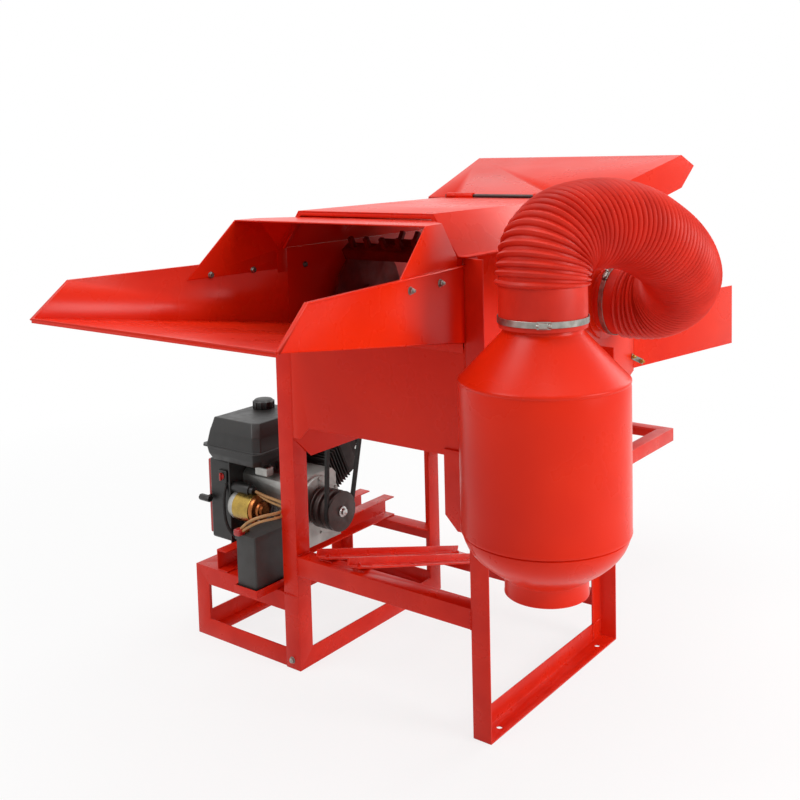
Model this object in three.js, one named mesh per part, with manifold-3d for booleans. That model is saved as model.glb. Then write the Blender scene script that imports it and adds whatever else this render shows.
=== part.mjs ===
// Belt-driven threshing machine with feed tray, grain hose, grain cyclone and petrol engine.
// Millimetres, +Z up. X runs along the drum shaft, the feed tray points to -Y and the straw chute to +Y.
// The origin lies on the ground under the heel of the left front leg.
import * as THREE from 'three';
import { mergeVertices } from 'three/addons/utils/BufferGeometryUtils.js';
import Module from 'manifold-3d';

const wasm = await Module();
wasm.setup();

// Driving dimensions

const SEAT = 0.3; // clearance between two pieces that rest on each other
const OVERRUN = 6; // how far a cutting tool runs past the face that it cuts
const SINK = 1; // how far two joined forms reach into each other

const FRAME = {
  length: 544, // between the heels of the left and right legs, along X
  depth: 634, // between the heels of the front and rear legs, along Y
  legHeight: 1116, // front legs, beside the feed mouth
  rearLegHeight: 815, // rear legs, under the fan outlet
  iron: 50, // leg of the angle iron
  ironWall: 4,
  frontRailTop: 310,
  rearRailTop: 130,
  groundHole: 14,
  groundHoleInset: 70,
};

const SUBFRAME = {
  length: 400, // how far the engine frame reaches out from the left legs
  height: 202,
  overlap: 42, // length of rail that lies behind the flange of a leg
};

const BEARER = { height: 60, width: 40, wall: 4, outerX: -312, innerX: -212 };

const MOTOR_RAIL = { width: 40, wall: 4, leftX: 62, pitch: 104, slotLength: 120, slotWidth: 12, slotInset: 90 };

const OUTRIGGER = { reach: 506, top: 470, iron: 40, wall: 4 };

const BODY = {
  sheet: 3,
  topZ: 1120, // upper edge of the side plates
  bottomZ: 565,
  frontBottomZ: 628, // where the front edge of a side plate turns into the lower slope
  frontSlopeY: 65,
  rearY: 860,
  rearBottomZ: 705,
  rearSlopeY: 560,
  rearTopZ: 985,
  rearTopY: 700,
  panelBottomZ: 660,
  panelTopZ: 912,
};

const TRAY = {
  rootZ: 926, // floor of the tray where it meets the body
  tipZ: 1028,
  reach: 680,
  flare: 82, // how much wider each side is at the tip
  wallTopZ: 1102,
  tipWallSetback: 88,
  hem: 7,
  inset: 30, // length of floor inside the body
};

const HOOD = {
  footY: -300, // where the front edge of the hood meets the tray walls
  browY: -158, // front edge of the hood's top
  topZ: 1201,
  rearY: -24,
  shoulderY: -90,
  lip: 16,
};

const COVER = {
  frontY: -20,
  rearY: 588,
  topZ: 1216,
  shoulderWidth: 66,
  flange: 22,
  rodRadius: 5,
  knuckleRadius: 9,
  knuckleLength: 60,
};

const DEFLECTOR = { reach: 400, rise: 106, flareShare: 0.2, tipReach: 62, tipDrop: 33, rootGap: 14 };

const CHUTE = {
  reach: 505,
  floorZ: 712,
  wallHeight: 186,
  flareShare: 0.2,
  floorInset: 350, // how far the straw rack reaches into the body
  slots: 10,
  slotWidth: 18,
  slotLength: 270,
};

const DRUM = {
  y: 292,
  z: 962,
  discRadius: 140,
  discWall: 5,
  barHeight: 26,
  barWidth: 34,
  bars: 6,
  pegs: 9,
  pegSize: 12,
  pegLength: 30,
  pegMargin: 26, // from the end of a bar to its first peg
  endGap: 14, // running gap to the side plates
  discInset: 10,
  hubRadius: 34,
  hubLength: 30,
  shaftRadius: 17,
  plateHole: 24,
};

const CONCAVE = { gap: 22, wall: 6, rimWidth: 12, bars: 15, barSize: 8, startAngle: 198, sweep: 144 };

const TANK_BEND_SHARE = 0.45; // height of the bend in a tank half, from its far end
const TANK_BULGE_SHARE = 0.3; // how far that bend is drawn in, of the far end's inset
const PANEL_TAB_SHARE = 0.7; // width of a corner tab of the front panel, of its height
const SHOULDER_SHIFT_SHARE = 1.2; // sideways shift of the inner skin on the cover's shoulders, of the sheet
const KNUCKLE_SHARES = [0.26, 0.74]; // places of the cover's hinge eyes along the body

const PAN = { sheet: 2.5, frontZ: 700, rearZ: 668, lipHeight: 22, endY: 470, frontInset: 12 };

const DRIVE = {
  belt: 13, // top width of the V-belt
  beltDepth: 9,
  beltGap: 0.5,
  driveX: -30, // groove that carries the drum belt
  pitch: 24, // from groove to groove
  hubWall: 11,
  enginePulley: 56,
  drumPulley: 110,
  fanPulley: 55,
  sides: 26,
};

const BEARING = { flange: 108, wall: 8, hub: 17, hubRadius: 34, boltHole: 11, sides: 20 };

const FAN = {
  y: 680,
  z: 935,
  shaftRadius: 10,
  ductRadius: 85, // outside of the outlet stub
  ductWall: 3,
  stubReach: 86,
  inset: 104, // how deep the duct reaches into the body
  flange: 22,
  flangeWall: 4,
  blades: 6,
  bladeWall: 2.5,
  bladeTipGap: 5,
  bladePitch: 38,
  hubRadius: 26,
  hubLength: 34,
  spiderWidth: 14,
  spiderHubRadius: 24,
  spiderLength: 16,
  bushRadius: 15,
  bearingHub: 24,
  bearingFlange: 84,
};

const ENGINE = {
  crankY: 205,
  shaftHeight: 106, // crankshaft above the engine's feet
  shaftRadius: 10,
  caseFrontX: -112,
  caseRearX: -330,
  caseFrontY: 132,
  caseRearY: 288,
  caseHeight: 196,
  footHeight: 12,
  footReach: 16,
  coverRadius: 84,
  coverWall: 12,
  coverHubRadius: 26,
  coverHubLength: 8,
  edge: 16,
  coverBolts: 6,
  tilt: 25, // cylinder above the horizontal
};

const CYLINDER = {
  start: 96, // from the crankshaft to the foot of the cylinder
  length: 96,
  width: 104,
  height: 112,
  fins: 9,
  fin: 3,
  core: 78,
  headLength: 40,
  centreX: -205,
  coverWidth: 86,
  coverHeight: 74,
  coverLength: 30,
  coverEdge: 9,
};

const BLOWER = { wall: 62, radius: 116, armWidth: 118, armReach: 205, edge: 8 };

const RECOIL = { wall: 46, radius: 100, edge: 14, slots: 12, slotWidth: 7, slotLength: 30, slotDepth: 5, bossRadius: 26 };

const HANDLE = { width: 66, height: 17, depth: 24, stem: 6, stemLength: 16, edge: 6 };

const TANK = {
  rearX: -434,
  frontX: -197,
  frontY: 60,
  rearY: 312,
  seamZ: 530,
  bottomZ: 490,
  topZ: 610,
  seamWall: 5,
  seamLip: 7,
  edge: 34,
  slopeTop: 26,
  neckRadius: 24,
  neckHeight: 6,
  capX: -345,
  capY: 240,
  capRadius: 31,
  capHeight: 26,
  capRibs: 12,
  capRib: 4,
  capDome: 6,
  stay: 16,
};

const MUFFLER = { width: 128, depth: 92, height: 78, edge: 16, pipe: 15, pipeLength: 40, rise: 165, clearance: 10, outlet: 11, outletReach: 26 };

const CLEANER = { width: 104, depth: 96, height: 92, edge: 20, baseWall: 8, baseLip: 5, clearance: 3 };

const CARB = { width: 34, depth: 46, height: 54, back: 38, rise: 100, bowlRadius: 16, bowlHeight: 26 };

const STARTER = { radius: 32, length: 98, edge: 6, nose: 24, noseRadius: 26, solenoidRadius: 17, solenoidLength: 66, cap: 12, capRadius: 12 };

const BATTERY = {
  width: 77,
  depth: 181,
  height: 158,
  rearX: -160,
  overhang: 68,
  post: 7,
  postHeight: 8,
  postInset: 22,
  rib: 3,
  lid: 16,
  tray: 3,
  trayLip: 18,
};

const SWITCH = { box: 34, boxDepth: 22, inset: 14, rise: 56, radius: 9, knob: 12, tab: 5, tabLength: 22 };

const LEVER = { wall: 3, width: 11, length: 58, boss: 9, throttleX: -292, throttleY: 260, chokeLength: 30 };

const CYCLONE = {
  standoff: 241, // from the right legs to the cyclone's axis
  y: -70,
  wall: 3,
  collarRadius: 85,
  collarTop: 1008,
  coneTop: 972,
  shoulderZ: 872,
  radius: 177,
  seamZ: 506,
  bowlRadius: 140,
  bowlZ: 468,
  outletTopZ: 446,
  outletRadius: 91,
  outletZ: 410,
  sides: 36,
};

const CYCLONE_BRACKET = {
  wall: 5,
  topZ: 676,
  bottomZ: 488,
  forward: 112,
  chamfer: 34,
  armHeight: 40,
  armPitch: 110,
  armInset: 20,
};

const HOSE = {
  crestRadius: 102,
  valleyRadius: 95,
  ribs: 48,
  sides: 12,
  ribsPerBoreRing: 2,
  cuff: 46,
  steps: 400,
};

const CLAMP = { width: 13, wall: 1.6, lug: 16, inset: 10, lowerTurn: 28, upperTurn: 35 };

const PULLEY_BOLT = { washerRadius: 15, washerWall: 3, headRadius: 10, headHeight: 8 };

// Colours and finishes

const finish = (color, roughness, metalness) => new THREE.MeshStandardMaterial({ color, roughness, metalness });
const RED_PAINT = finish(0xe0301e, 0.35, 0.1);
const RED_HOSE = finish(0xcd3c2d, 0.6, 0);
const BLACK_PLASTIC = finish(0x1c1b1a, 0.45, 0);
const BLACK_STEEL = finish(0x26211f, 0.55, 0.5);
const CAST_BROWN = finish(0x50403c, 0.5, 0.6);
const ALUMINIUM = finish(0xa9aaa8, 0.45, 0.85);
const BRIGHT_STEEL = finish(0xc9cac8, 0.28, 0.95);
const GREY_STEEL = finish(0x6f6f70, 0.45, 0.8);
const ZINC_YELLOW = finish(0xc2a24a, 0.35, 0.85);
const COPPER = finish(0xb06a3c, 0.4, 0.85);
const BELT_RUBBER = finish(0x161616, 0.85, 0);
const RED_PLASTIC = finish(0xb3211b, 0.4, 0);

// Solid tools

const rad = THREE.MathUtils.degToRad;

const MERGE_TOLERANCE = 1e-4;

/** Turns a closed geometry into a solid that can be joined and cut, with its faces pointing out. */
function solidOf(geometry) {
  const bare = geometry.index ? geometry.toNonIndexed() : geometry.clone();
  for (const name of Object.keys(bare.attributes)) if (name !== 'position') bare.deleteAttribute(name);
  const merged = mergeVertices(bare, MERGE_TOLERANCE);
  const vertProperties = new Float32Array(merged.attributes.position.array);
  const corners = merged.index.array;
  const manifoldOf = (flip) => {
    const triVerts = [];
    for (let i = 0; i < corners.length; i += 3) {
      const [a, b, c] = [corners[i], corners[i + 1], corners[i + 2]];
      if (a === b || b === c || c === a) continue;
      triVerts.push(a, ...(flip ? [c, b] : [b, c]));
    }
    return new wasm.Manifold(new wasm.Mesh({ numProp: 3, vertProperties, triVerts: new Uint32Array(triVerts) }));
  };
  const solid = manifoldOf(false);
  return solid.volume() > 0 ? solid : manifoldOf(true);
}

/** Gives a solid back as a geometry. */
function geometryOf(solid) {
  const mesh = solid.getMesh();
  const geometry = new THREE.BufferGeometry();
  geometry.setAttribute('position', new THREE.BufferAttribute(new Float32Array(mesh.vertProperties), 3));
  geometry.setIndex(new THREE.BufferAttribute(new Uint32Array(mesh.triVerts), 1));
  const faceted = geometry.toNonIndexed();
  faceted.computeVertexNormals();
  return faceted;
}

const join = (...parts) => parts.flat().reduce((sum, part) => sum.add(part));
const cut = (body, ...tools) => tools.flat().reduce((rest, tool) => rest.subtract(tool), body);

/** Moves or turns a solid by a matrix. */
function placed(solid, matrix) {
  const geometry = geometryOf(solid);
  geometry.applyMatrix4(matrix);
  return solidOf(geometry);
}

const shift = (x, y, z) => new THREE.Matrix4().makeTranslation(x, y, z);

/** Turns a solid about an axis through a point, by degrees. */
function turnedAbout(solid, axis, angle, x, y, z) {
  const turn = new THREE.Matrix4().makeRotationAxis(axis, rad(angle));
  return placed(solid, shift(x, y, z).multiply(turn).multiply(shift(-x, -y, -z)));
}

const X_AXIS = new THREE.Vector3(1, 0, 0);
const Y_AXIS = new THREE.Vector3(0, 1, 0);
const Z_AXIS = new THREE.Vector3(0, 0, 1);

// Each basis carries a flat outline (u, v) and its depth onto the machine's axes.
const BASES = {
  x: new THREE.Matrix4().makeBasis(Y_AXIS, Z_AXIS, X_AXIS),
  y: new THREE.Matrix4().makeBasis(Z_AXIS, X_AXIS, Y_AXIS),
  z: new THREE.Matrix4().makeBasis(X_AXIS, Y_AXIS, Z_AXIS),
};

/** Extrudes an outline along an axis. Outlines are (y, z) along x, (z, x) along y and (x, y) along z. */
function prism(axis, outline, from, to, holes = []) {
  const shape = new THREE.Shape(outline.map(([u, v]) => new THREE.Vector2(u, v)));
  for (const hole of holes) shape.holes.push(new THREE.Path(hole.map(([u, v]) => new THREE.Vector2(u, v))));
  const geometry = new THREE.ExtrudeGeometry(shape, { depth: to - from, bevelEnabled: false });
  geometry.applyMatrix4(new THREE.Matrix4().makeTranslation(0, 0, from));
  geometry.applyMatrix4(BASES[axis]);
  return solidOf(geometry);
}

/** A box between two corners. */
function block(x0, x1, y0, y1, z0, z1) {
  const geometry = new THREE.BoxGeometry(x1 - x0, y1 - y0, z1 - z0);
  geometry.translate((x0 + x1) / 2, (y0 + y1) / 2, (z0 + z1) / 2);
  return solidOf(geometry);
}

/** A box between two corners whose four edges along an axis are cut off. */
function chamferedBlock(axis, x0, x1, y0, y1, z0, z1, edge) {
  const spans = { x: [y0, y1, z0, z1, x0, x1], y: [z0, z1, x0, x1, y0, y1], z: [x0, x1, y0, y1, z0, z1] }[axis];
  const [u0, u1, v0, v1, from, to] = spans;
  const outline = [
    [u0 + edge, v0], [u1 - edge, v0], [u1, v0 + edge], [u1, v1 - edge],
    [u1 - edge, v1], [u0 + edge, v1], [u0, v1 - edge], [u0, v0 + edge],
  ];
  return prism(axis, outline, from, to);
}

/** A solid of revolution about an axis. The profile is a list of (radius, distance along the axis). */
function turned(axis, profile, x, y, z, sides) {
  const points = profile.map(([radius, along]) => new THREE.Vector2(radius, along));
  const geometry = new THREE.LatheGeometry(points, sides);
  const toAxis = {
    x: new THREE.Matrix4().makeBasis(Y_AXIS, X_AXIS, Z_AXIS.clone().negate()),
    y: new THREE.Matrix4().identity(),
    z: new THREE.Matrix4().makeBasis(X_AXIS, Z_AXIS, Y_AXIS.clone().negate()),
  }[axis];
  geometry.applyMatrix4(toAxis);
  geometry.translate(x, y, z);
  return solidOf(geometry);
}

/** A plain round bar along an axis, from one distance to another. */
function rod(axis, x, y, z, radius, from, to, sides) {
  return turned(axis, [[0, from], [radius, from], [radius, to], [0, to]], x, y, z, sides);
}

/** A round tube along an axis. */
function pipe(axis, x, y, z, outer, inner, from, to, sides) {
  const profile = [[inner, from], [outer, from], [outer, to], [inner, to], [inner, from]];
  return turned(axis, profile, x, y, z, sides);
}

/** A sheet over a flat outline of 3-D corners, thick towards the side that a point inside lies on. */
function sheet(corners, thickness, inside) {
  const points = corners.map((corner) => new THREE.Vector3(...corner));
  const along = points[1].clone().sub(points[0]).normalize();
  const normal = new THREE.Vector3();
  for (let i = 0; i < points.length; i += 1) {
    normal.add(points[i].clone().sub(points[0]).cross(points[(i + 1) % points.length].clone().sub(points[0])));
  }
  normal.normalize();
  if (normal.dot(new THREE.Vector3(...inside).sub(points[0])) < 0) normal.negate();
  const across = normal.clone().cross(along);
  const flat = points.map((point) => {
    const offset = point.clone().sub(points[0]);
    return new THREE.Vector2(offset.dot(along), offset.dot(across));
  });
  const geometry = new THREE.ExtrudeGeometry(new THREE.Shape(flat), { depth: thickness, bevelEnabled: false });
  geometry.applyMatrix4(new THREE.Matrix4().makeBasis(along, across, normal).setPosition(points[0]));
  return solidOf(geometry);
}

/** A round-ended slot outline with its long side along u. */
function slotOutline(u, v, length, width, steps) {
  const radius = width / 2;
  const half = length / 2 - radius;
  const outline = [];
  for (const [side, start] of [[1, -90], [-1, 90]]) {
    for (let i = 0; i <= steps; i += 1) {
      const angle = rad(start + (180 * i) / steps);
      outline.push([u + side * half + radius * Math.cos(angle), v + radius * Math.sin(angle)]);
    }
  }
  return outline;
}

/** An angle iron along an axis, with its heel at (u, v) and its legs running to the given sides. */
function angleIron(axis, u, v, sideU, sideV, from, to, leg, wall) {
  const outline = [
    [u, v], [u + sideU * leg, v], [u + sideU * leg, v + sideV * wall],
    [u + sideU * wall, v + sideV * wall], [u + sideU * wall, v + sideV * leg], [u, v + sideV * leg],
  ];
  return prism(axis, outline, from, to);
}

const machine = new THREE.Group();

/** Adds a finished solid to the machine under its name. */
function add(name, solid, material, parent = machine) {
  const mesh = new THREE.Mesh(geometryOf(solid), material);
  mesh.name = name;
  parent.add(mesh);
  return mesh;
}

/** Radius of a faceted bore whose flats clear a round bar by the seat clearance. */
const boreFor = (radius, sides) => (radius + SEAT) / Math.cos(Math.PI / sides);

const ROUND = 24; // sides of middle-sized round pieces
const SMALL_ROUND = 16; // sides of small round pieces

// Frame

const plateX = { left: [SEAT, SEAT + BODY.sheet], right: [FRAME.length - SEAT - BODY.sheet, FRAME.length - SEAT] };
const innerX = [plateX.left[1] + SEAT, plateX.right[0] - SEAT];
const railY = [FRAME.ironWall + SEAT, FRAME.depth - FRAME.ironWall - SEAT];

/** Two legs and the ground rail between them, welded from angle iron. */
function endFrame(heelX, side) {
  const { depth, iron, ironWall, legHeight, rearLegHeight, groundHole, groundHoleInset } = FRAME;
  const legs = [[0, 1, legHeight], [depth, -1, rearLegHeight]].map(([y, sideY, height]) => {
    return angleIron('z', heelX, y, side, sideY, 0, height, iron, ironWall);
  });
  const rail = angleIron('y', 0, heelX, 1, side, 0, depth, iron, ironWall);
  const holes = [groundHoleInset, depth - groundHoleInset].map((y) => {
    return rod('z', heelX + (side * (iron + ironWall)) / 2, y, 0, groundHole / 2, -OVERRUN, ironWall + OVERRUN, SMALL_ROUND);
  });
  return cut(join(legs, rail), holes);
}

add('left_end_frame', endFrame(0, -1), RED_PAINT);
add('right_end_frame', endFrame(FRAME.length, 1), RED_PAINT);

const motorRailX = [MOTOR_RAIL.leftX, MOTOR_RAIL.leftX + MOTOR_RAIL.pitch];

/** A cross rail between the two end frames, with a slot under each motor rail. */
function crossRail(y, sideY, top) {
  const { length, iron, ironWall } = FRAME;
  const rail = angleIron('x', y, top, sideY, -1, SEAT, length - SEAT, iron, ironWall);
  const slots = motorRailX.map((x) => {
    const outline = slotOutline(x + MOTOR_RAIL.width / 2, y + (sideY * iron) / 2, MOTOR_RAIL.width, MOTOR_RAIL.slotWidth, 4);
    return prism('z', outline, top - ironWall - OVERRUN, top + OVERRUN);
  });
  return cut(rail, slots);
}

add('front_cross_rail', crossRail(0, 1, FRAME.frontRailTop), RED_PAINT);
add('rear_cross_rail', crossRail(FRAME.depth, -1, FRAME.rearRailTop), RED_PAINT);

/** A slotted rail that slopes from the front cross rail down to the rear one. */
function motorRail(x) {
  const { width, wall, slotLength, slotWidth, slotInset } = MOTOR_RAIL;
  const restY = FRAME.iron;
  const restZ = FRAME.frontRailTop + SEAT;
  const run = FRAME.depth - FRAME.iron;
  const drop = FRAME.frontRailTop - FRAME.rearRailTop;
  const length = Math.hypot(run, drop);
  const startY = FRAME.ironWall;
  const plate = block(x, x + width, startY, restY + length, restZ, restZ + wall);
  const lip = block(x, x + wall, startY, restY + length, restZ, restZ + width / 2);
  const slots = [slotInset, length - slotInset].map((along) => {
    const outline = slotOutline(0, 0, slotLength, slotWidth, 4);
    const spots = outline.map(([u, v]) => [x + (width + wall) / 2 + v, restY + along + u]);
    return prism('z', spots, restZ - OVERRUN, restZ + wall + OVERRUN);
  });
  const flat = cut(join(plate, lip), slots);
  return turnedAbout(flat, X_AXIS, -THREE.MathUtils.radToDeg(Math.atan2(drop, run)), 0, restY, restZ);
}

add('motor_rail_left', motorRail(motorRailX[0]), RED_PAINT);
add('motor_rail_right', motorRail(motorRailX[1]), RED_PAINT);

/** The welded carrier that stands out behind the rear legs. */
function rearOutrigger() {
  const { reach, top, iron, wall } = OUTRIGGER;
  const endY = FRAME.depth + reach;
  const startY = FRAME.depth - FRAME.iron;
  const left = angleIron('y', top, SEAT, -1, 1, startY, endY, iron, wall);
  const right = angleIron('y', top, FRAME.length - SEAT, -1, -1, startY, endY, iron, wall);
  const back = angleIron('x', endY, top, -1, -1, SEAT, FRAME.length - SEAT, iron, wall);
  return join(left, right, back);
}

add('rear_outrigger', rearOutrigger(), RED_PAINT);

/** The low box frame that carries the engine beside the left legs. */
function engineSubframe() {
  const { iron, ironWall } = FRAME;
  const { length, height, overlap } = SUBFRAME;
  const [frontY, rearY] = railY;
  const endX = overlap - iron;
  const parts = [];
  for (const [y, side] of [[frontY, 1], [rearY, -1]]) {
    parts.push(angleIron('z', -length, y, 1, side, 0, height, iron, ironWall));
    parts.push(angleIron('x', y, height, side, -1, -length, endX, iron, ironWall));
    parts.push(angleIron('x', y, 0, side, 1, -length, -iron - SEAT, iron, ironWall));
    const webY = [y, y + side * ironWall].sort((a, b) => a - b);
    parts.push(block(-iron - SINK, endX, ...webY, ironWall + SEAT, iron));
  }
  parts.push(angleIron('y', height, -length, -1, 1, frontY, rearY, iron, ironWall));
  parts.push(angleIron('y', 0, -length, 1, 1, frontY, rearY, iron, ironWall));
  return join(parts);
}

add('engine_subframe', engineSubframe(), RED_PAINT);

/** A channel across the engine frame that the engine's feet stand on. */
function engineBearer(x) {
  const { height, width, wall } = BEARER;
  const low = SUBFRAME.height + SEAT;
  const outline = [
    [low, x], [low + height, x], [low + height, x + width], [low + height - wall, x + width],
    [low + height - wall, x + wall], [low + wall, x + wall], [low + wall, x + width], [low, x + width],
  ];
  return prism('y', outline, ...railY);
}

add('engine_bearer_outer', engineBearer(BEARER.outerX), RED_PAINT);
add('engine_bearer_inner', engineBearer(BEARER.innerX), RED_PAINT);

// Body

/** A circle as an outline, with flats that clear the given radius. */
function circleOutline(u, v, radius, sides) {
  return Array.from({ length: sides }, (_, i) => {
    const angle = (2 * Math.PI * i) / sides;
    return [u + radius * Math.cos(angle), v + radius * Math.sin(angle)];
  });
}

/** An end wall of the body with holes for the shafts. */
function sidePlate([from, to], fanHole) {
  const b = BODY;
  const outline = [
    [0, b.frontBottomZ], [b.frontSlopeY, b.bottomZ], [b.rearSlopeY, b.bottomZ], [b.rearY, b.rearBottomZ],
    [b.rearY, b.rearTopZ], [b.rearTopY, b.topZ], [0, b.topZ],
  ];
  const holes = [circleOutline(DRUM.y, DRUM.z, DRUM.plateHole, ROUND), circleOutline(FAN.y, FAN.z, fanHole, ROUND)];
  return prism('x', outline, from, to, holes);
}

add('left_side_plate', sidePlate(plateX.left, FAN.shaftRadius + OVERRUN), RED_PAINT);
add('right_side_plate', sidePlate(plateX.right, boreFor(FAN.ductRadius, ROUND)), RED_PAINT);

/** The front wall under the feed tray, with its lower corners turned down. */
function frontPanel() {
  const { sheet: wall, panelBottomZ, panelTopZ, frontBottomZ } = BODY;
  const step = panelBottomZ - frontBottomZ;
  const [x0, x1] = innerX;
  const tab = step * PANEL_TAB_SHARE;
  const outline = [
    [frontBottomZ, x0], [frontBottomZ, x0 + tab], [panelBottomZ, x0 + tab + step], [panelBottomZ, x1 - tab - step],
    [frontBottomZ, x1 - tab], [frontBottomZ, x1], [panelTopZ, x1], [panelTopZ, x0],
  ];
  return prism('y', outline, 0, wall);
}

add('front_panel', frontPanel(), RED_PAINT);

/** The sheet under the concave that leads the grain to the rear of the body. */
function grainPan() {
  const { sheet: wall, frontZ, rearZ, lipHeight, endY, frontInset } = PAN;
  const startY = BODY.sheet + SEAT;
  const outline = [
    [startY, frontZ + lipHeight], [startY, frontZ], [frontInset, frontZ], [endY, rearZ],
    [endY, rearZ + wall], [frontInset, frontZ + wall], [startY + wall, frontZ + wall], [startY + wall, frontZ + lipHeight],
  ];
  return prism('x', outline, ...innerX);
}

add('grain_pan', grainPan(), RED_PAINT);

/** The slatted cradle under the drum: two curved rims with bars between them. */
function concave() {
  const { gap, wall, rimWidth, bars, barSize, startAngle, sweep } = CONCAVE;
  const inner = DRUM.discRadius + DRUM.barHeight + DRUM.pegLength + gap;
  const outer = inner + wall + barSize;
  const at = (radius, angle) => [DRUM.y + radius * Math.cos(angle), DRUM.z + radius * Math.sin(angle)];
  const steps = bars;
  const arc = (radius) => Array.from({ length: steps + 1 }, (_, i) => at(radius, rad(startAngle + (sweep * i) / steps)));
  const rim = [...arc(inner), ...arc(outer).reverse()];
  const parts = [
    prism('x', rim, innerX[0], innerX[0] + rimWidth),
    prism('x', rim, innerX[1] - rimWidth, innerX[1]),
  ];
  const edge = barSize / 2;
  for (let i = 0; i < bars; i += 1) {
    const angle = startAngle + (sweep * (i + 1 / 2)) / bars;
    const bar = block(...[innerX[0] + SINK, innerX[1] - SINK], DRUM.y + inner + SINK, DRUM.y + inner + barSize, DRUM.z - edge, DRUM.z + edge);
    parts.push(turnedAbout(bar, X_AXIS, angle, 0, DRUM.y, DRUM.z));
  }
  return join(parts);
}

add('concave', concave(), GREY_STEEL);

// Feed tray, hood and cover

const midX = FRAME.length / 2;

/** Places of the left and right walls at a distance out from the body, with a flare that grows evenly. */
const flaredX = (out, flare, reach) => [(-flare * out) / reach, FRAME.length + (flare * out) / reach];

/** The open tray that the crop is laid on. */
function feedTray() {
  const { rootZ, tipZ, reach, flare, wallTopZ, tipWallSetback, hem, inset } = TRAY;
  const wall = BODY.sheet;
  const rootY = -2 * SEAT;
  const wallReach = reach - tipWallSetback;
  const root = flaredX(0, flare, reach);
  const tip = flaredX(reach, flare, reach);
  const brow = flaredX(wallReach, flare, reach);
  const inside = [midX, -reach / 2, wallTopZ];
  const parts = [
    sheet([[root[0], rootY, rootZ], [tip[0], -reach, tipZ], [tip[1], -reach, tipZ], [root[1], rootY, rootZ]], wall, inside),
    block(innerX[0] + wall, innerX[1] - wall, rootY - SINK, inset, rootZ, rootZ + wall),
    block(tip[0], tip[1], -reach, -reach + wall, tipZ - hem, tipZ + wall),
  ];
  for (const i of [0, 1]) {
    const side = i === 0 ? -1 : 1;
    const top = [[root[i], rootY, wallTopZ], [brow[i], -wallReach, wallTopZ]];
    parts.push(sheet([[root[i], rootY, rootZ], [tip[i], -reach, tipZ], top[1], top[0]], wall, inside));
    const lip = top.map(([x, y, z]) => [x + side * hem, y, z]);
    const inward = top.map(([x, y, z]) => [x - side * wall, y, z]);
    parts.push(sheet([inward[0], inward[1], lip[1], lip[0]], wall, [midX, 0, 0]));
    const nose = [[tip[i], -reach, tipZ], [brow[i], -wallReach, wallTopZ]];
    const noseOut = nose.map(([x, y, z]) => [x + side * hem, y, z]);
    parts.push(sheet([nose[0], nose[1], noseOut[1], noseOut[0]], wall, [midX, 0, wallTopZ / 2]));
  }
  return join(parts);
}

add('feed_tray', feedTray(), RED_PAINT);

/** The hood over the inner end of the tray. */
function feedHood() {
  const { footY, browY, topZ, rearY, shoulderY, lip } = HOOD;
  const wall = BODY.sheet;
  const lowZ = TRAY.wallTopZ - 2 * lip;
  const inset = wall + SEAT;
  const walls = (y) => {
    const [left, right] = flaredX(-y, TRAY.flare, TRAY.reach);
    return [left + inset, right - inset];
  };
  const inside = [midX, browY, lowZ];
  const parts = [];
  const crestZ = topZ;
  const shoulderX = [innerX[0] + COVER.shoulderWidth, innerX[1] - COVER.shoulderWidth];
  for (const i of [0, 1]) {
    const at = (y, z) => [walls(y)[i], y, z];
    parts.push(sheet([at(footY, lowZ), at(browY, crestZ), at(shoulderY, crestZ), at(rearY, BODY.topZ), at(rearY, lowZ)], wall, inside));
    const hip = [at(shoulderY, crestZ), at(rearY, BODY.topZ), [shoulderX[i], rearY, crestZ]];
    parts.push(sheet(hip, wall, [midX, rearY, lowZ]));
  }
  const crest = [
    [walls(browY)[0], browY, crestZ], [walls(browY)[1], browY, crestZ], [walls(shoulderY)[1], shoulderY, crestZ],
    [shoulderX[1], rearY, crestZ], [shoulderX[0], rearY, crestZ], [walls(shoulderY)[0], shoulderY, crestZ],
  ];
  parts.push(sheet(crest, wall, inside));
  return join(parts);
}

add('feed_hood', feedHood(), RED_PAINT);

const hinge = { y: COVER.rearY + COVER.knuckleRadius + COVER.rodRadius, z: COVER.topZ + COVER.rodRadius };
const knuckleX = KNUCKLE_SHARES.map((share) => FRAME.length * share - COVER.knuckleLength / 2);

/** A round hinge eye about the cover's rod, with a strap to the sheet that carries it. */
function hingeEye(from, to, strapY, strapZ) {
  const eye = rod('x', 0, hinge.y, hinge.z, COVER.knuckleRadius, from, to, SMALL_ROUND);
  const [y0, y1] = [Math.min(strapY, hinge.y), Math.max(strapY, hinge.y)];
  const strap = block(from, to, y0, y1, strapZ, strapZ + BODY.sheet);
  const bore = rod('x', 0, hinge.y, hinge.z, boreFor(COVER.rodRadius, SMALL_ROUND), from - OVERRUN, to + OVERRUN, SMALL_ROUND);
  return { eye: join(eye, strap), bore };
}

/** The hipped lid over the drum. */
function drumCover() {
  const { frontY, rearY, topZ, shoulderWidth, flange, knuckleLength } = COVER;
  const wall = BODY.sheet;
  const low = BODY.topZ + SEAT;
  const skew = wall * SHOULDER_SHIFT_SHARE;
  const { length } = FRAME;
  const outline = [
    [low, -flange], [low + wall, -flange], [low + wall, 0], [topZ, shoulderWidth], [topZ, length - shoulderWidth],
    [low + wall, length], [low + wall, length + flange], [low, length + flange],
    [low, length - skew], [topZ - wall, length - shoulderWidth - skew], [topZ - wall, shoulderWidth + skew], [low, skew],
  ];
  const shell = prism('y', outline, frontY, rearY);
  const eyes = knuckleX.map((x) => hingeEye(x, x + knuckleLength, rearY - SINK, topZ - wall));
  return cut(join(shell, eyes.map(({ eye }) => eye)), eyes.map(({ bore }) => bore));
}

const cover = add('drum_cover', drumCover(), RED_PAINT);

const lugX = [knuckleX[0] - COVER.knuckleLength / 2 - SEAT, knuckleX[1] + COVER.knuckleLength + SEAT];

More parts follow.
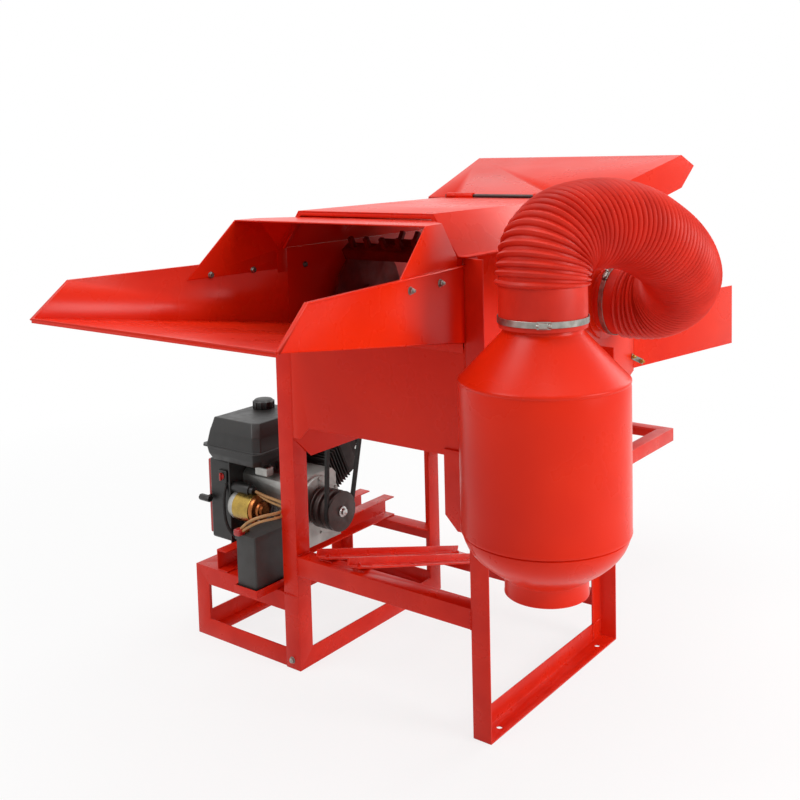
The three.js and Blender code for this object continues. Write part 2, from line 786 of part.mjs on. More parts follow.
/** The flared plate that throws the straw out over the rear chute. */
function rearDeflector() {
  const { reach, rise, flareShare, tipReach, tipDrop, rootGap } = DEFLECTOR;
  const wall = BODY.sheet;
  const rootY = hinge.y + rootGap;
  const rootZ = COVER.topZ;
  const lowZ = BODY.topZ + SEAT;
  const flare = flareShare * reach;
  const x = (y) => flaredX(y - rootY, flare, reach);
  const tipY = rootY + reach;
  const inside = [midX, rootY, lowZ];
  const top = [[x(rootY)[0], rootY, rootZ], [x(rootY)[1], rootY, rootZ], [x(tipY)[1], tipY, rootZ + rise], [x(tipY)[0], tipY, rootZ + rise]];
  const parts = [sheet(top, wall, inside)];
  for (const i of [0, 1]) {
    const at = (y, z) => [x(y)[i], y, z];
    const outline = [
      at(rootY, rootZ), at(tipY, rootZ + rise), at(tipY + tipReach, rootZ + rise - tipDrop),
      at(tipY, rootZ + rise - (rootZ - lowZ)), at(rootY, lowZ),
    ];
    parts.push(sheet(outline, wall, inside));
  }
  const lugs = lugX.map((from) => hingeEye(from, from + COVER.knuckleLength / 2, rootY + wall, rootZ - wall));
  return cut(join(parts, lugs.map(({ eye }) => eye)), lugs.map(({ bore }) => bore));
}

add('rear_deflector', rearDeflector(), RED_PAINT);

const rodSpan = [lugX[0] - OVERRUN, lugX[1] + COVER.knuckleLength / 2 + OVERRUN];
add('cover_hinge_rod', rod('x', 0, hinge.y, hinge.z, COVER.rodRadius, ...rodSpan, SMALL_ROUND), BRIGHT_STEEL);

/** The straw chute with its slotted rack inside the body. */
function rearChute() {
  const { reach, floorZ, wallHeight, flareShare, floorInset, slots, slotWidth, slotLength } = CHUTE;
  const wall = BODY.sheet;
  const rootY = BODY.rearY + SEAT;
  const tipY = rootY + reach;
  const x = (y) => flaredX(y - rootY, flareShare * reach, reach);
  const inside = [midX, tipY, floorZ + wallHeight];
  const floor = [[x(rootY)[0], rootY, floorZ], [x(rootY)[1], rootY, floorZ], [x(tipY)[1], tipY, floorZ], [x(tipY)[0], tipY, floorZ]];
  const parts = [sheet(floor, wall, inside)];
  parts.push(block(...innerX, rootY - floorInset, rootY + SINK, floorZ, floorZ + wall));
  for (const i of [0, 1]) {
    const outline = [[x(rootY)[i], rootY, floorZ], [x(tipY)[i], tipY, floorZ], [x(tipY)[i], tipY, floorZ + wallHeight], [x(rootY)[i], rootY, floorZ + wallHeight]];
    parts.push(sheet(outline, wall, inside));
  }
  const rack = Array.from({ length: slots }, (_, i) => {
    const spot = innerX[0] + ((innerX[1] - innerX[0]) * (i + 1 / 2)) / slots;
    const middle = rootY - floorInset / 2;
    return block(spot - slotWidth / 2, spot + slotWidth / 2, middle - slotLength / 2, middle + slotLength / 2, floorZ - OVERRUN, floorZ + wall + OVERRUN);
  });
  return cut(join(parts), rack);
}

add('rear_chute', rearChute(), RED_PAINT);

// Drum, fan and drive

const feetZ = SUBFRAME.height + SEAT + BEARER.height + SEAT;
const crank = { y: ENGINE.crankY, z: feetZ + ENGINE.shaftHeight };

/** A pulley with V-grooves, as a profile of (radius, x). */
function pulley(y, z, radius, bore, grooves, from, to) {
  const half = DRIVE.belt / 2 + DRIVE.beltGap;
  const foot = half - DRIVE.beltGap * 2;
  const depth = DRIVE.beltDepth + 2 * DRIVE.beltGap;
  const inner = boreFor(bore, DRIVE.sides);
  const profile = [[inner, from], [radius, from]];
  for (const x of [...grooves].sort((a, b) => a - b)) {
    profile.push([radius, x - half], [radius - depth, x - foot], [radius - depth, x + foot], [radius, x + half]);
  }
  profile.push([radius, to], [inner, to], [inner, from]);
  return turned('x', profile, 0, y, z, DRIVE.sides);
}

const grooveX = [0, 1, 2].map((i) => DRIVE.driveX - i * DRIVE.pitch);
const pulleySpan = [grooveX[2] - DRIVE.hubWall - SINK, grooveX[0] + DRIVE.hubWall + SINK];
const fanPulleySpan = [grooveX[2] - DRIVE.hubWall - SINK, grooveX[2] + DRIVE.hubWall + SINK];

/** Half of the loop of a belt round two pulleys: the outline at a distance from each pitch circle. */
function beltLoop(a, b, steps) {
  const along = Math.atan2(b.z - a.z, b.y - a.y);
  const distance = Math.hypot(b.z - a.z, b.y - a.y);
  const lean = Math.acos((a.radius - b.radius) / distance);
  const outline = [];
  const arc = (wheel, start, end) => {
    for (let i = 0; i <= steps; i += 1) {
      const angle = start + ((end - start) * i) / steps;
      outline.push([wheel.y + wheel.radius * Math.cos(angle), wheel.z + wheel.radius * Math.sin(angle)]);
    }
  };
  arc(a, along + lean, along + 2 * Math.PI - lean);
  arc(b, along - lean, along + lean);
  return outline;
}

/** A V-belt that lies in one groove of two pulleys. */
function belt(a, b, x) {
  const half = DRIVE.belt / 2 - 2 * DRIVE.beltGap;
  const grown = (wheel, offset) => ({ y: wheel.y, z: wheel.z, radius: wheel.radius + offset });
  const low = -DRIVE.beltDepth - DRIVE.beltGap / 2;
  const outer = beltLoop(grown(a, -DRIVE.beltGap), grown(b, -DRIVE.beltGap), SMALL_ROUND);
  const inner = beltLoop(grown(a, low), grown(b, low), SMALL_ROUND);
  return prism('x', outer, x - half, x + half, [inner]);
}

const enginePulley = { ...crank, radius: DRIVE.enginePulley };
const drumPulley = { y: DRUM.y, z: DRUM.z, radius: DRIVE.drumPulley };
const fanPulley = { y: FAN.y, z: FAN.z, radius: DRIVE.fanPulley };

const drumEnds = [pulleySpan[0] - OVERRUN, FRAME.length + BEARING.hub + OVERRUN];
add('drum_shaft', rod('x', 0, DRUM.y, DRUM.z, DRUM.shaftRadius, ...drumEnds, ROUND), BRIGHT_STEEL);
add('drum_pulley', pulley(DRUM.y, DRUM.z, DRIVE.drumPulley, DRUM.shaftRadius, grooveX, ...pulleySpan), CAST_BROWN);

/** The drum: three discs on the shaft with rasp bars across them and pegs on the bars. */
function threshingDrum() {
  const d = DRUM;
  const from = plateX.left[1] + d.endGap;
  const to = plateX.right[0] - d.endGap;
  const bore = rod('x', 0, d.y, d.z, boreFor(d.shaftRadius, ROUND), from - OVERRUN, to + OVERRUN, ROUND);
  const parts = [];
  for (const x of [from + d.discInset, (from + to) / 2, to - d.discInset]) {
    parts.push(rod('x', 0, d.y, d.z, d.discRadius, x - d.discWall / 2, x + d.discWall / 2, ROUND));
    parts.push(rod('x', 0, d.y, d.z, d.hubRadius, x - d.hubLength / 2 + d.discInset / 2, x + d.hubLength / 2 - d.discInset / 2, ROUND));
  }
  const rise = d.discRadius + d.barHeight;
  for (let bar = 0; bar < d.bars; bar += 1) {
    const rasp = block(from, to, d.y + d.discRadius - d.discWall, d.y + rise, d.z - d.barWidth / 2, d.z + d.barWidth / 2);
    const step = (to - from - 2 * d.pegMargin - d.pegSize) / (d.pegs - 1 / 2);
    const start = from + d.pegMargin + ((bar % 2) * step) / 2;
    const pegs = Array.from({ length: d.pegs }, (_, i) => {
      const x = start + step * i;
      return block(x, x + d.pegSize, d.y + rise - SINK, d.y + rise + d.pegLength, d.z - d.pegSize / 2, d.z + d.pegSize / 2);
    });
    parts.push(turnedAbout(join(rasp, pegs), X_AXIS, (360 * bar) / d.bars, 0, d.y, d.z));
  }
  return cut(join(parts), bore);
}

add('threshing_drum', threshingDrum(), GREY_STEEL);

/** A flanged bearing on the outer face of a side plate. */
function bearing(y, z, shaftRadius, hubRadius, flange, plateFace, side) {
  const { wall, hub, boltHole, sides } = BEARING;
  const spans = [wall, hub].map((length) => [plateFace, plateFace + side * length].sort((a, b) => a - b));
  const half = flange / 2;
  const edge = half / 2;
  const base = chamferedBlock('x', ...spans[0], y - half, y + half, z - half, z + half, edge);
  const body = rod('x', 0, y, z, hubRadius, ...spans[1], sides);
  const tools = [rod('x', 0, y, z, boreFor(shaftRadius, sides), spans[1][0] - OVERRUN, spans[1][1] + OVERRUN, sides)];
  const spot = half - boltHole;
  for (const [u, v] of [[spot, 0], [-spot, 0], [0, spot], [0, -spot]]) {
    tools.push(rod('x', 0, y + u, z + v, boltHole / 2, spans[1][0] - OVERRUN, spans[1][1] + OVERRUN, SMALL_ROUND / 2));
  }
  return cut(join(base, body), tools);
}

const drumBearing = (face, side) => bearing(DRUM.y, DRUM.z, DRUM.shaftRadius, BEARING.hubRadius, BEARING.flange, face, side);
add('drum_bearing_left', drumBearing(0, -1), GREY_STEEL);
add('drum_bearing_right', drumBearing(FRAME.length, 1), GREY_STEEL);
add('fan_bearing', bearing(FAN.y, FAN.z, FAN.shaftRadius, FAN.bearingHub, FAN.bearingFlange, 0, -1), GREY_STEEL);

const ductX = [FRAME.length - FAN.inset, FRAME.length + FAN.stubReach];

/** The round outlet of the fan, with the arms that carry the shaft's end. */
function fanDuct() {
  const f = FAN;
  const bore = f.ductRadius - f.ductWall;
  const tube = pipe('x', 0, f.y, f.z, f.ductRadius, bore, ...ductX, ROUND);
  const rimRadius = f.ductRadius + f.flange;
  const rim = pipe('x', 0, f.y, f.z, rimRadius, f.ductRadius - f.ductWall / 2, FRAME.length, FRAME.length + f.flangeWall, ROUND);
  const spider = [ductX[0], ductX[0] + f.spiderLength];
  const half = f.spiderWidth / 2;
  const arm = block(...spider, f.y - bore - SINK, f.y + bore + SINK, f.z - half, f.z + half);
  const arms = [0, 60, 120].map((angle) => turnedAbout(arm, X_AXIS, angle, 0, f.y, f.z));
  const hub = rod('x', 0, f.y, f.z, f.spiderHubRadius, ...spider, ROUND);
  const shaftHole = rod('x', 0, f.y, f.z, boreFor(f.bushRadius, ROUND), spider[0] - OVERRUN, spider[1] + OVERRUN, ROUND);
  return cut(join(tube, rim, arms, hub), shaftHole);
}

add('fan_duct', fanDuct(), RED_PAINT);

const bushSpan = [ductX[0], ductX[0] + FAN.spiderLength];
add('fan_bush', pipe('x', 0, FAN.y, FAN.z, FAN.bushRadius, boreFor(FAN.shaftRadius, ROUND), ...bushSpan, ROUND), COPPER);

/** The fan wheel: a hub with pitched blades. */
function fanImpeller() {
  const f = FAN;
  const from = ductX[0] + f.spiderLength + f.bladeTipGap;
  const middle = from + f.hubLength / 2;
  const tip = f.ductRadius - f.ductWall - f.bladeTipGap;
  const hub = rod('x', 0, f.y, f.z, f.hubRadius, from, from + f.hubLength, ROUND);
  const half = f.bladeWall / 2;
  const flat = block(middle - f.hubLength / 2, middle + f.hubLength / 2, f.y - half, f.y + half, f.z + f.hubRadius - 2 * SINK, f.z + tip);
  const blade = turnedAbout(flat, Z_AXIS, f.bladePitch, middle, f.y, f.z);
  const blades = Array.from({ length: f.blades }, (_, i) => turnedAbout(blade, X_AXIS, (360 * i) / f.blades, 0, f.y, f.z));
  const bore = rod('x', 0, f.y, f.z, boreFor(f.shaftRadius, ROUND), from - OVERRUN, from + f.hubLength + OVERRUN, ROUND);
  return cut(join(hub, blades), bore);
}

add('fan_impeller', fanImpeller(), GREY_STEEL);
const fanEnds = [fanPulleySpan[0] - OVERRUN, ductX[0] + FAN.spiderLength + FAN.bladeTipGap + FAN.hubLength + SINK];
add('fan_shaft', rod('x', 0, FAN.y, FAN.z, FAN.shaftRadius, ...fanEnds, ROUND), BRIGHT_STEEL);
add('fan_pulley', pulley(FAN.y, FAN.z, DRIVE.fanPulley, FAN.shaftRadius, [grooveX[2]], ...fanPulleySpan), CAST_BROWN);
add('drum_belt', belt(enginePulley, drumPulley, grooveX[0]), BELT_RUBBER);
add('fan_belt', belt(drumPulley, fanPulley, grooveX[2]), BELT_RUBBER);

// Engine

const crankEnds = [ENGINE.caseFrontX - ENGINE.edge, pulleySpan[1] - 2 * SINK];

/** The crankcase with its feet and the round side cover that the shaft comes out of. */
function crankcase() {
  const e = ENGINE;
  const topZ = feetZ + e.caseHeight;
  const box = chamferedBlock('x', e.caseRearX, e.caseFrontX, e.caseFrontY, e.caseRearY, feetZ, topZ, e.edge);
  const feet = block(e.caseRearX, e.caseFrontX, e.caseFrontY - e.footReach, e.caseRearY + e.footReach, feetZ, feetZ + e.footHeight);
  const coverX = e.caseFrontX + e.coverWall;
  const side = rod('x', 0, crank.y, crank.z, e.coverRadius, e.caseFrontX - SINK, coverX, ROUND);
  const hub = rod('x', 0, crank.y, crank.z, e.coverHubRadius, coverX - SINK, coverX + e.coverHubLength, ROUND);
  const boltCircle = e.coverRadius - e.edge / 2;
  const heads = Array.from({ length: e.coverBolts }, (_, i) => {
    const angle = rad((360 * (i + 1 / 2)) / e.coverBolts);
    const [y, z] = [crank.y + boltCircle * Math.cos(angle), crank.z + boltCircle * Math.sin(angle)];
    return rod('x', 0, y, z, e.edge / 4, coverX - SINK, coverX + e.edge / 4, SMALL_ROUND / 2);
  });
  const lug = block(e.caseFrontX - SINK, coverX, crank.y - e.coverRadius, crank.y + e.coverRadius, feetZ, crank.z);
  const bore = rod('x', 0, crank.y, crank.z, boreFor(e.shaftRadius, ROUND), crankEnds[0] - SEAT, coverX + e.coverHubLength + OVERRUN, ROUND);
  return cut(join(box, feet, side, hub, lug, heads), bore);
}

add('crankcase', crankcase(), ALUMINIUM);
add('crankshaft', rod('x', 0, crank.y, crank.z, ENGINE.shaftRadius, ...crankEnds, ROUND), BRIGHT_STEEL);
add('engine_pulley', pulley(crank.y, crank.z, DRIVE.enginePulley, ENGINE.shaftRadius, grooveX, ...pulleySpan), CAST_BROWN);

/** The washer and hexagon head that hold the pulley on the shaft. */
function pulleyBolt() {
  const { washerRadius, washerWall, headRadius, headHeight } = PULLEY_BOLT;
  const from = pulleySpan[1] + SEAT;
  const washer = rod('x', 0, crank.y, crank.z, washerRadius, from, from + washerWall, ROUND);
  const head = rod('x', 0, crank.y, crank.z, headRadius, from + washerWall - SINK, from + washerWall + headHeight, 6);
  return join(washer, head);
}

add('pulley_bolt', pulleyBolt(), BRIGHT_STEEL);

const tiltOf = (solid) => turnedAbout(solid, X_AXIS, ENGINE.tilt, 0, crank.y, crank.z);
const headStart = crank.y + CYLINDER.start + CYLINDER.length;
const headEnd = headStart + CYLINDER.headLength;

/** The finned cylinder and its head, or the same form grown on every side by a clearance. */
function cylinder(grow) {
  const c = CYLINDER;
  const foot = crank.y + c.start;
  const slab = (half, from, to, height) => {
    return block(c.centreX - half - grow, c.centreX + half + grow, from - grow, to + grow, crank.z - height - grow, crank.z + height + grow);
  };
  const parts = [slab(c.core / 2, foot - c.start / 2, headStart + SINK, c.core / 2)];
  const pitch = c.length / c.fins;
  for (let i = 0; i < c.fins; i += 1) {
    const from = foot + pitch * i + c.fin;
    parts.push(slab(c.width / 2, from, from + c.fin, c.height / 2));
  }
  parts.push(slab(c.width / 2 - c.fin, headStart, headEnd, c.height / 2 - c.fin));
  return tiltOf(join(parts));
}

const caseSpace = block(
  ENGINE.caseRearX - OVERRUN, ENGINE.caseFrontX + OVERRUN, 0, ENGINE.caseRearY + SEAT, 0, feetZ + ENGINE.caseHeight + ENGINE.caseHeight,
);
const footSpace = block(
  ENGINE.caseRearX, ENGINE.caseFrontX, 0, ENGINE.caseRearY + ENGINE.footReach + SEAT, 0, feetZ + ENGINE.footHeight + SEAT,
);
add('cylinder', cut(cylinder(0), caseSpace, footSpace), BLACK_STEEL);

/** The rocker cover on the end of the head. */
function headCover() {
  const c = CYLINDER;
  const from = headEnd + SEAT;
  const half = [c.coverWidth / 2, c.coverHeight / 2];
  const box = chamferedBlock(
    'y', c.centreX - half[0], c.centreX + half[0], from, from + c.coverLength, crank.z - half[1], crank.z + half[1], c.coverEdge,
  );
  return tiltOf(box);
}

add('head_cover', headCover(), BLACK_STEEL);

const blowerX = [ENGINE.caseRearX - SEAT - BLOWER.wall, ENGINE.caseRearX - SEAT];

/** The fan housing at the far end of the crankcase, with its air duct to the cylinder and the switch box. */
function blowerHousing() {
  const { radius, armWidth, armReach, edge } = BLOWER;
  const [from, to] = blowerX;
  const drum = turned('x', [[0, from], [radius - edge, from], [radius, from + edge], [radius, to], [0, to]], 0, crank.y, crank.z, ROUND);
  const arm = tiltOf(chamferedBlock('x', from + edge, to, crank.y, crank.y + armReach, crank.z - armWidth / 2, crank.z + armWidth / 2, edge));
  const box = block(...switchBox.x, ...switchBox.y, ...switchBox.z);
  return join(drum, arm, box);
}

const switchBox = {
  x: [blowerX[1] - SWITCH.inset - SWITCH.box, blowerX[1] - SWITCH.inset],
  y: [crank.y - BLOWER.radius - SWITCH.boxDepth / 4, crank.y - BLOWER.radius + SWITCH.boxDepth + SWITCH.box / 2],
  z: [crank.z + SWITCH.rise, crank.z + SWITCH.rise + SWITCH.box],
};
add('blower_housing', blowerHousing(), BLACK_PLASTIC);

const switchPivot = { x: (switchBox.x[0] + switchBox.x[1]) / 2, z: (switchBox.z[0] + switchBox.z[1]) / 2 };

/** The red ignition switch on the front of its box. */
function engineSwitch() {
  const { radius, knob, tab, tabLength } = SWITCH;
  const { x, z } = switchPivot;
  const end = switchBox.y[0] - SEAT;
  const boss = rod('y', x, 0, z, radius, end - knob / 2, end, SMALL_ROUND);
  const grip = block(x - tab / 2, x + tab / 2, end - knob, end - knob / 2 + SINK, z - tabLength / 2, z + tabLength / 2);
  return join(boss, grip);
}

add('engine_switch', engineSwitch(), RED_PLASTIC);

const recoilX = [blowerX[0] - SEAT - RECOIL.wall, blowerX[0] - SEAT];

/** The pull starter's dished cover with its air slots. */
function recoilCover() {
  const { radius, edge, slots, slotWidth, slotLength, slotDepth, bossRadius } = RECOIL;
  const [from, to] = recoilX;
  const profile = [[0, from - slotDepth], [bossRadius, from - slotDepth], [bossRadius, from], [radius - edge, from], [radius, from + edge], [radius, to], [0, to]];
  const dish = turned('x', profile, 0, crank.y, crank.z, ROUND);
  const slot = block(
    from - OVERRUN, from + slotDepth, crank.y + bossRadius + slotWidth, crank.y + bossRadius + slotWidth + slotLength,
    crank.z - slotWidth / 2, crank.z + slotWidth / 2,
  );
  return cut(dish, Array.from({ length: slots }, (_, i) => turnedAbout(slot, X_AXIS, (360 * i) / slots, 0, crank.y, crank.z)));
}

add('recoil_cover', recoilCover(), RED_PLASTIC);

/** The pull handle, resting against the rim of the recoil cover. */
function recoilHandle() {
  const { width, height, depth, stem, stemLength, edge } = HANDLE;
  const x = (recoilX[0] + recoilX[1]) / 2;
  const rimY = crank.y - RECOIL.radius - SEAT;
  const z = crank.z;
  const grip = chamferedBlock('x', x - width / 2, x + width / 2, rimY - stemLength - depth, rimY - stemLength, z - height / 2, z + height / 2, edge);
  return join(grip, rod('y', x, 0, z, stem, rimY - stemLength - SINK, rimY, SMALL_ROUND / 2));
}

add('recoil_handle', recoilHandle(), BLACK_PLASTIC);

/** The fuel tank in two pressed halves, with a rolled seam, a filler neck and four stays. */
function fuelTank() {
  const t = TANK;
  const inner = [t.rearX, t.frontX, t.frontY, t.rearY];
  const upper = loftedBox(inner, t.seamZ + t.seamWall / 2, t.topZ, t.edge, t.slopeTop);
  const lower = loftedBox(inner, t.seamZ + t.seamWall / 2, t.bottomZ, t.edge, t.slopeTop / 2);
  const lip = chamferedBlock(
    'z', t.rearX - t.seamLip, t.frontX + t.seamLip, t.frontY - t.seamLip, t.rearY + t.seamLip, t.seamZ, t.seamZ + t.seamWall, t.edge / 2,
  );
  const neck = rod('z', t.capX, t.capY, 0, t.neckRadius, t.topZ - SINK, t.topZ + t.neckHeight, ROUND);
  const stayLow = feetZ + ENGINE.caseHeight + SEAT;
  const stays = [ENGINE.caseFrontY + 2 * t.stay, ENGINE.caseRearY - 2 * t.stay].flatMap((y) => {
    return [ENGINE.caseRearX + t.stay, t.frontX - 3 * t.stay].map((x) => {
      return block(x - t.stay / 2, x + t.stay / 2, y - t.stay / 2, y + t.stay / 2, stayLow, t.bottomZ + SINK);
    });
  });
  return join(upper, lower, lip, neck, stays);
}

/** A box with cut vertical edges that narrows towards its far end. */
function loftedBox([x0, x1, y0, y1], fromZ, toZ, edge, slope) {
  const ring = (inset, z) => {
    const [a, b, c, d] = [x0 + inset, x1 - inset, y0 + inset, y1 - inset];
    const e = edge / 2;
    return [[a + e, c], [b - e, c], [b, c + e], [b, d - e], [b - e, d], [a + e, d], [a, d - e], [a, c + e]].map(([x, y]) => [x, y, z]);
  };
  const bend = toZ + (fromZ - toZ) * TANK_BEND_SHARE;
  return stackOf([ring(0, fromZ), ring(slope * TANK_BULGE_SHARE, bend), ring(slope, toZ)]);
}

/** A closed solid through rings of equally many points. */
function stackOf(rings) {
  const position = [];
  const count = rings[0].length;
  const quad = (a, b, c, d) => position.push(...a, ...b, ...c, ...a, ...c, ...d);
  for (let r = 0; r + 1 < rings.length; r += 1) {
    for (let i = 0; i < count; i += 1) {
      const next = (i + 1) % count;
      quad(rings[r][i], rings[r][next], rings[r + 1][next], rings[r + 1][i]);
    }
  }
  const first = rings[0];
  const last = rings[rings.length - 1];
  for (let i = 1; i + 1 < count; i += 1) {
    position.push(...first[0], ...first[i + 1], ...first[i]);
    position.push(...last[0], ...last[i], ...last[i + 1]);
  }
  const geometry = new THREE.BufferGeometry();
  geometry.setAttribute('position', new THREE.BufferAttribute(new Float32Array(position), 3));
  return solidOf(geometry);
}

add('fuel_tank', fuelTank(), BLACK_PLASTIC);

/** The ribbed filler cap that sits over the neck. */
function fuelCap() {
  const t = TANK;
  const low = t.topZ + SEAT;
  const seat = t.topZ + t.neckHeight + SEAT;
  const high = low + t.capHeight;
  const inner = boreFor(t.neckRadius, ROUND);
  const profile = [[0, seat], [inner, seat], [inner, low], [t.capRadius, low], [t.capRadius, high - t.capDome], [t.capRadius - t.capDome, high], [0, high]];
  const cap = turned('z', profile, t.capX, t.capY, 0, ROUND);
  const rib = block(
    t.capX + t.capRadius - 2 * SINK, t.capX + t.capRadius + t.capRib / 2, t.capY - t.capRib / 2, t.capY + t.capRib / 2, low, high - t.capDome,
  );
  return join(cap, Array.from({ length: t.capRibs }, (_, i) => turnedAbout(rib, Z_AXIS, (360 * i) / t.capRibs, t.capX, t.capY, 0)));
}

add('fuel_cap', fuelCap(), BLACK_PLASTIC);

const mufflerPlace = { x: CYLINDER.centreX, y: TANK.rearY + TANK.seamLip + MUFFLER.clearance, z: crank.z + MUFFLER.rise };

/** The silencer box over the cylinder head, on its exhaust pipe. */
function muffler() {
  const m = MUFFLER;
  const { x, y, z } = mufflerPlace;
  const can = chamferedBlock('x', x - m.width / 2, x + m.width / 2, y, y + m.depth, z, z + m.height, m.edge);
  const port = rod('z', x, y + m.depth / 2, 0, m.pipe, z - m.pipeLength, z + SINK, SMALL_ROUND);
  const outletX = x + m.width / 2;
  const outlet = rod('x', 0, y + m.depth / 2, z + m.height / 2, m.outlet, outletX - SINK, outletX + m.outletReach, SMALL_ROUND);
  return cut(join(can, port, outlet), cylinder(SEAT));
}

add('muffler', muffler(), BLACK_STEEL);

const carbX = [CYLINDER.centreX - CYLINDER.width / 2 - SEAT - CARB.width, CYLINDER.centreX - CYLINDER.width / 2 - SEAT];
const carbY = [headEnd - CARB.back - CARB.depth, headEnd - CARB.back];
const carbZ = [crank.z + CARB.rise, crank.z + CARB.rise + CARB.height];

/** The carburettor with its float bowl. */
function carburettor() {
  const body = block(...carbX, ...carbY, ...carbZ);
  const [x, y] = [(carbX[0] + carbX[1]) / 2, (carbY[0] + carbY[1]) / 2];
  const bowl = rod('z', x, y, 0, CARB.bowlRadius, carbZ[0] - CARB.bowlHeight, carbZ[0] + SINK, SMALL_ROUND);
  return join(body, bowl);
}

add('carburettor', carburettor(), ALUMINIUM);

/** The air cleaner's cover and base plate, standing on the carburettor. */
function airCleaner() {
  const a = CLEANER;
  const x1 = mufflerPlace.x - MUFFLER.width / 2 - a.clearance;
  const x0 = x1 - a.width;
  const low = carbZ[1] + SEAT;
  const y0 = mufflerPlace.y;
  const lip = a.baseLip;
  const base = block(x0, x1, y0, y0 + a.depth, low, low + a.baseWall);
  const lid = chamferedBlock('x', x0 + lip, x1 - lip, y0 + lip, y0 + a.depth - lip, low + a.baseWall - SINK, low + a.height, a.edge);
  return join(base, lid);
}

add('air_cleaner', airCleaner(), BLACK_PLASTIC);

const starterPlace = { y: ENGINE.caseFrontY - SEAT - STARTER.radius, z: crank.z - STARTER.edge };

/** The electric starter along the front of the crankcase. */
function starterMotor() {
  const s = STARTER;
  const from = blowerX[1] + SEAT;
  const end = from + s.length;
  const profile = [[0, from], [s.radius, from], [s.radius, end - s.edge], [s.radius - s.edge, end], [s.noseRadius - s.edge, end], [s.noseRadius - s.edge, end + s.nose], [0, end + s.nose]];
  return turned('x', profile, 0, starterPlace.y, starterPlace.z, ROUND);
}

add('starter_motor', starterMotor(), ZINC_YELLOW);

/** The starter's solenoid with its copper end. */
function starterSolenoid() {
  const s = STARTER;
  const from = blowerX[1] + SEAT;
  const z = starterPlace.z + s.radius + s.solenoidRadius + SEAT;
  const end = from + s.solenoidLength;
  const profile = [[0, from], [s.solenoidRadius, from], [s.solenoidRadius, end], [s.capRadius, end], [s.capRadius, end + s.cap], [0, end + s.cap]];
  return turned('x', profile, 0, starterPlace.y, z, SMALL_ROUND);
}

add('starter_solenoid', starterSolenoid(), COPPER);

const batteryBox = {
  x: [BATTERY.rearX, BATTERY.rearX + BATTERY.width],
  y: [-BATTERY.overhang, -BATTERY.overhang + BATTERY.depth],
  low: SUBFRAME.height + 2 * SEAT + BATTERY.tray,
};

/** The starter battery with its lid and two posts. */
function battery() {
  const b = BATTERY;
  const { x, y, low } = batteryBox;
  const lidLow = low + b.height - b.lid;
  const box = chamferedBlock('z', x[0] + b.rib, x[1] - b.rib, y[0] + b.rib, y[1] - b.rib, low, lidLow + SINK, b.rib);
  const lid = chamferedBlock('z', ...x, ...y, lidLow, low + b.height, b.rib);
  const posts = [y[0] + b.postInset, y[1] - b.postInset].map((postY) => {
    return rod('z', x[0] + b.postInset, postY, 0, b.post, low + b.height - SINK, low + b.height + b.postHeight, SMALL_ROUND);
  });
  return join(box, lid, posts);
}

add('battery', battery(), BLACK_PLASTIC);

/** The tray that holds the battery on the front rail of the engine frame. */
function batteryTray() {
  const { tray, trayLip } = BATTERY;
  const { x, y } = batteryBox;
  const low = SUBFRAME.height + SEAT;
  const gap = SEAT;
  const shell = block(x[0] - gap - tray, x[1] + gap + tray, y[0] - gap - tray, y[1] + gap + tray, low, low + tray + trayLip);
  const hollow = block(x[0] - gap, x[1] + gap, y[0] - gap, y[1] + gap, low + tray, low + tray + trayLip + OVERRUN);
  return cut(shell, hollow);
}

add('battery_tray', batteryTray(), RED_PAINT);

/** A flat lever with a round boss, pointing to +Y from its pivot and lying on a plane across Z. */
function flatLever(length) {
  const { wall, width, boss } = LEVER;
  return join(
    rod('z', 0, 0, 0, boss, 0, wall, SMALL_ROUND),
    block(-width / 2, width / 2, 0, length, 0, wall),
  );
}

const throttlePivot = { x: LEVER.throttleX, y: LEVER.throttleY, z: feetZ + ENGINE.caseHeight + SEAT };
add('throttle_lever', placed(flatLever(LEVER.length), shift(throttlePivot.x, throttlePivot.y, throttlePivot.z)), BRIGHT_STEEL);

const chokePivot = { x: carbX[0] - SEAT, y: (carbY[0] + carbY[1]) / 2, z: (carbZ[0] + carbZ[1]) / 2 };
const chokeTurn = new THREE.Matrix4().makeRotationAxis(Y_AXIS, -Math.PI / 2);
add(
  'choke_lever',
  placed(flatLever(LEVER.chokeLength), shift(chokePivot.x, chokePivot.y, chokePivot.z).multiply(chokeTurn)),
  BLACK_PLASTIC,
);

// Cyclone and hose

const cycloneX = FRAME.length + CYCLONE.standoff;

/** The sheet-metal cyclone: collar, cone, drum and round bowl with an open outlet. */
function cycloneShell(grow) {
  const c = CYCLONE;
  const outside = [
    [c.collarRadius, c.collarTop], [c.collarRadius, c.coneTop], [c.radius, c.shoulderZ], [c.radius, c.seamZ],
    [c.bowlRadius, c.bowlZ], [c.outletRadius, c.outletTopZ], [c.outletRadius, c.outletZ],
  ];
  if (grow > 0) {
    const solid = outside.map(([radius, z]) => [radius + grow, z]);
    return turned('z', [[0, c.collarTop], ...solid, [0, c.outletZ]], cycloneX, c.y, 0, c.sides);
  }
  const inside = outside.map(([radius, z]) => [radius - c.wall, z]).reverse();
  return turned('z', [...outside, ...inside, outside[0]], cycloneX, c.y, 0, c.sides);
}

add('cyclone', cycloneShell(0), RED_PAINT);

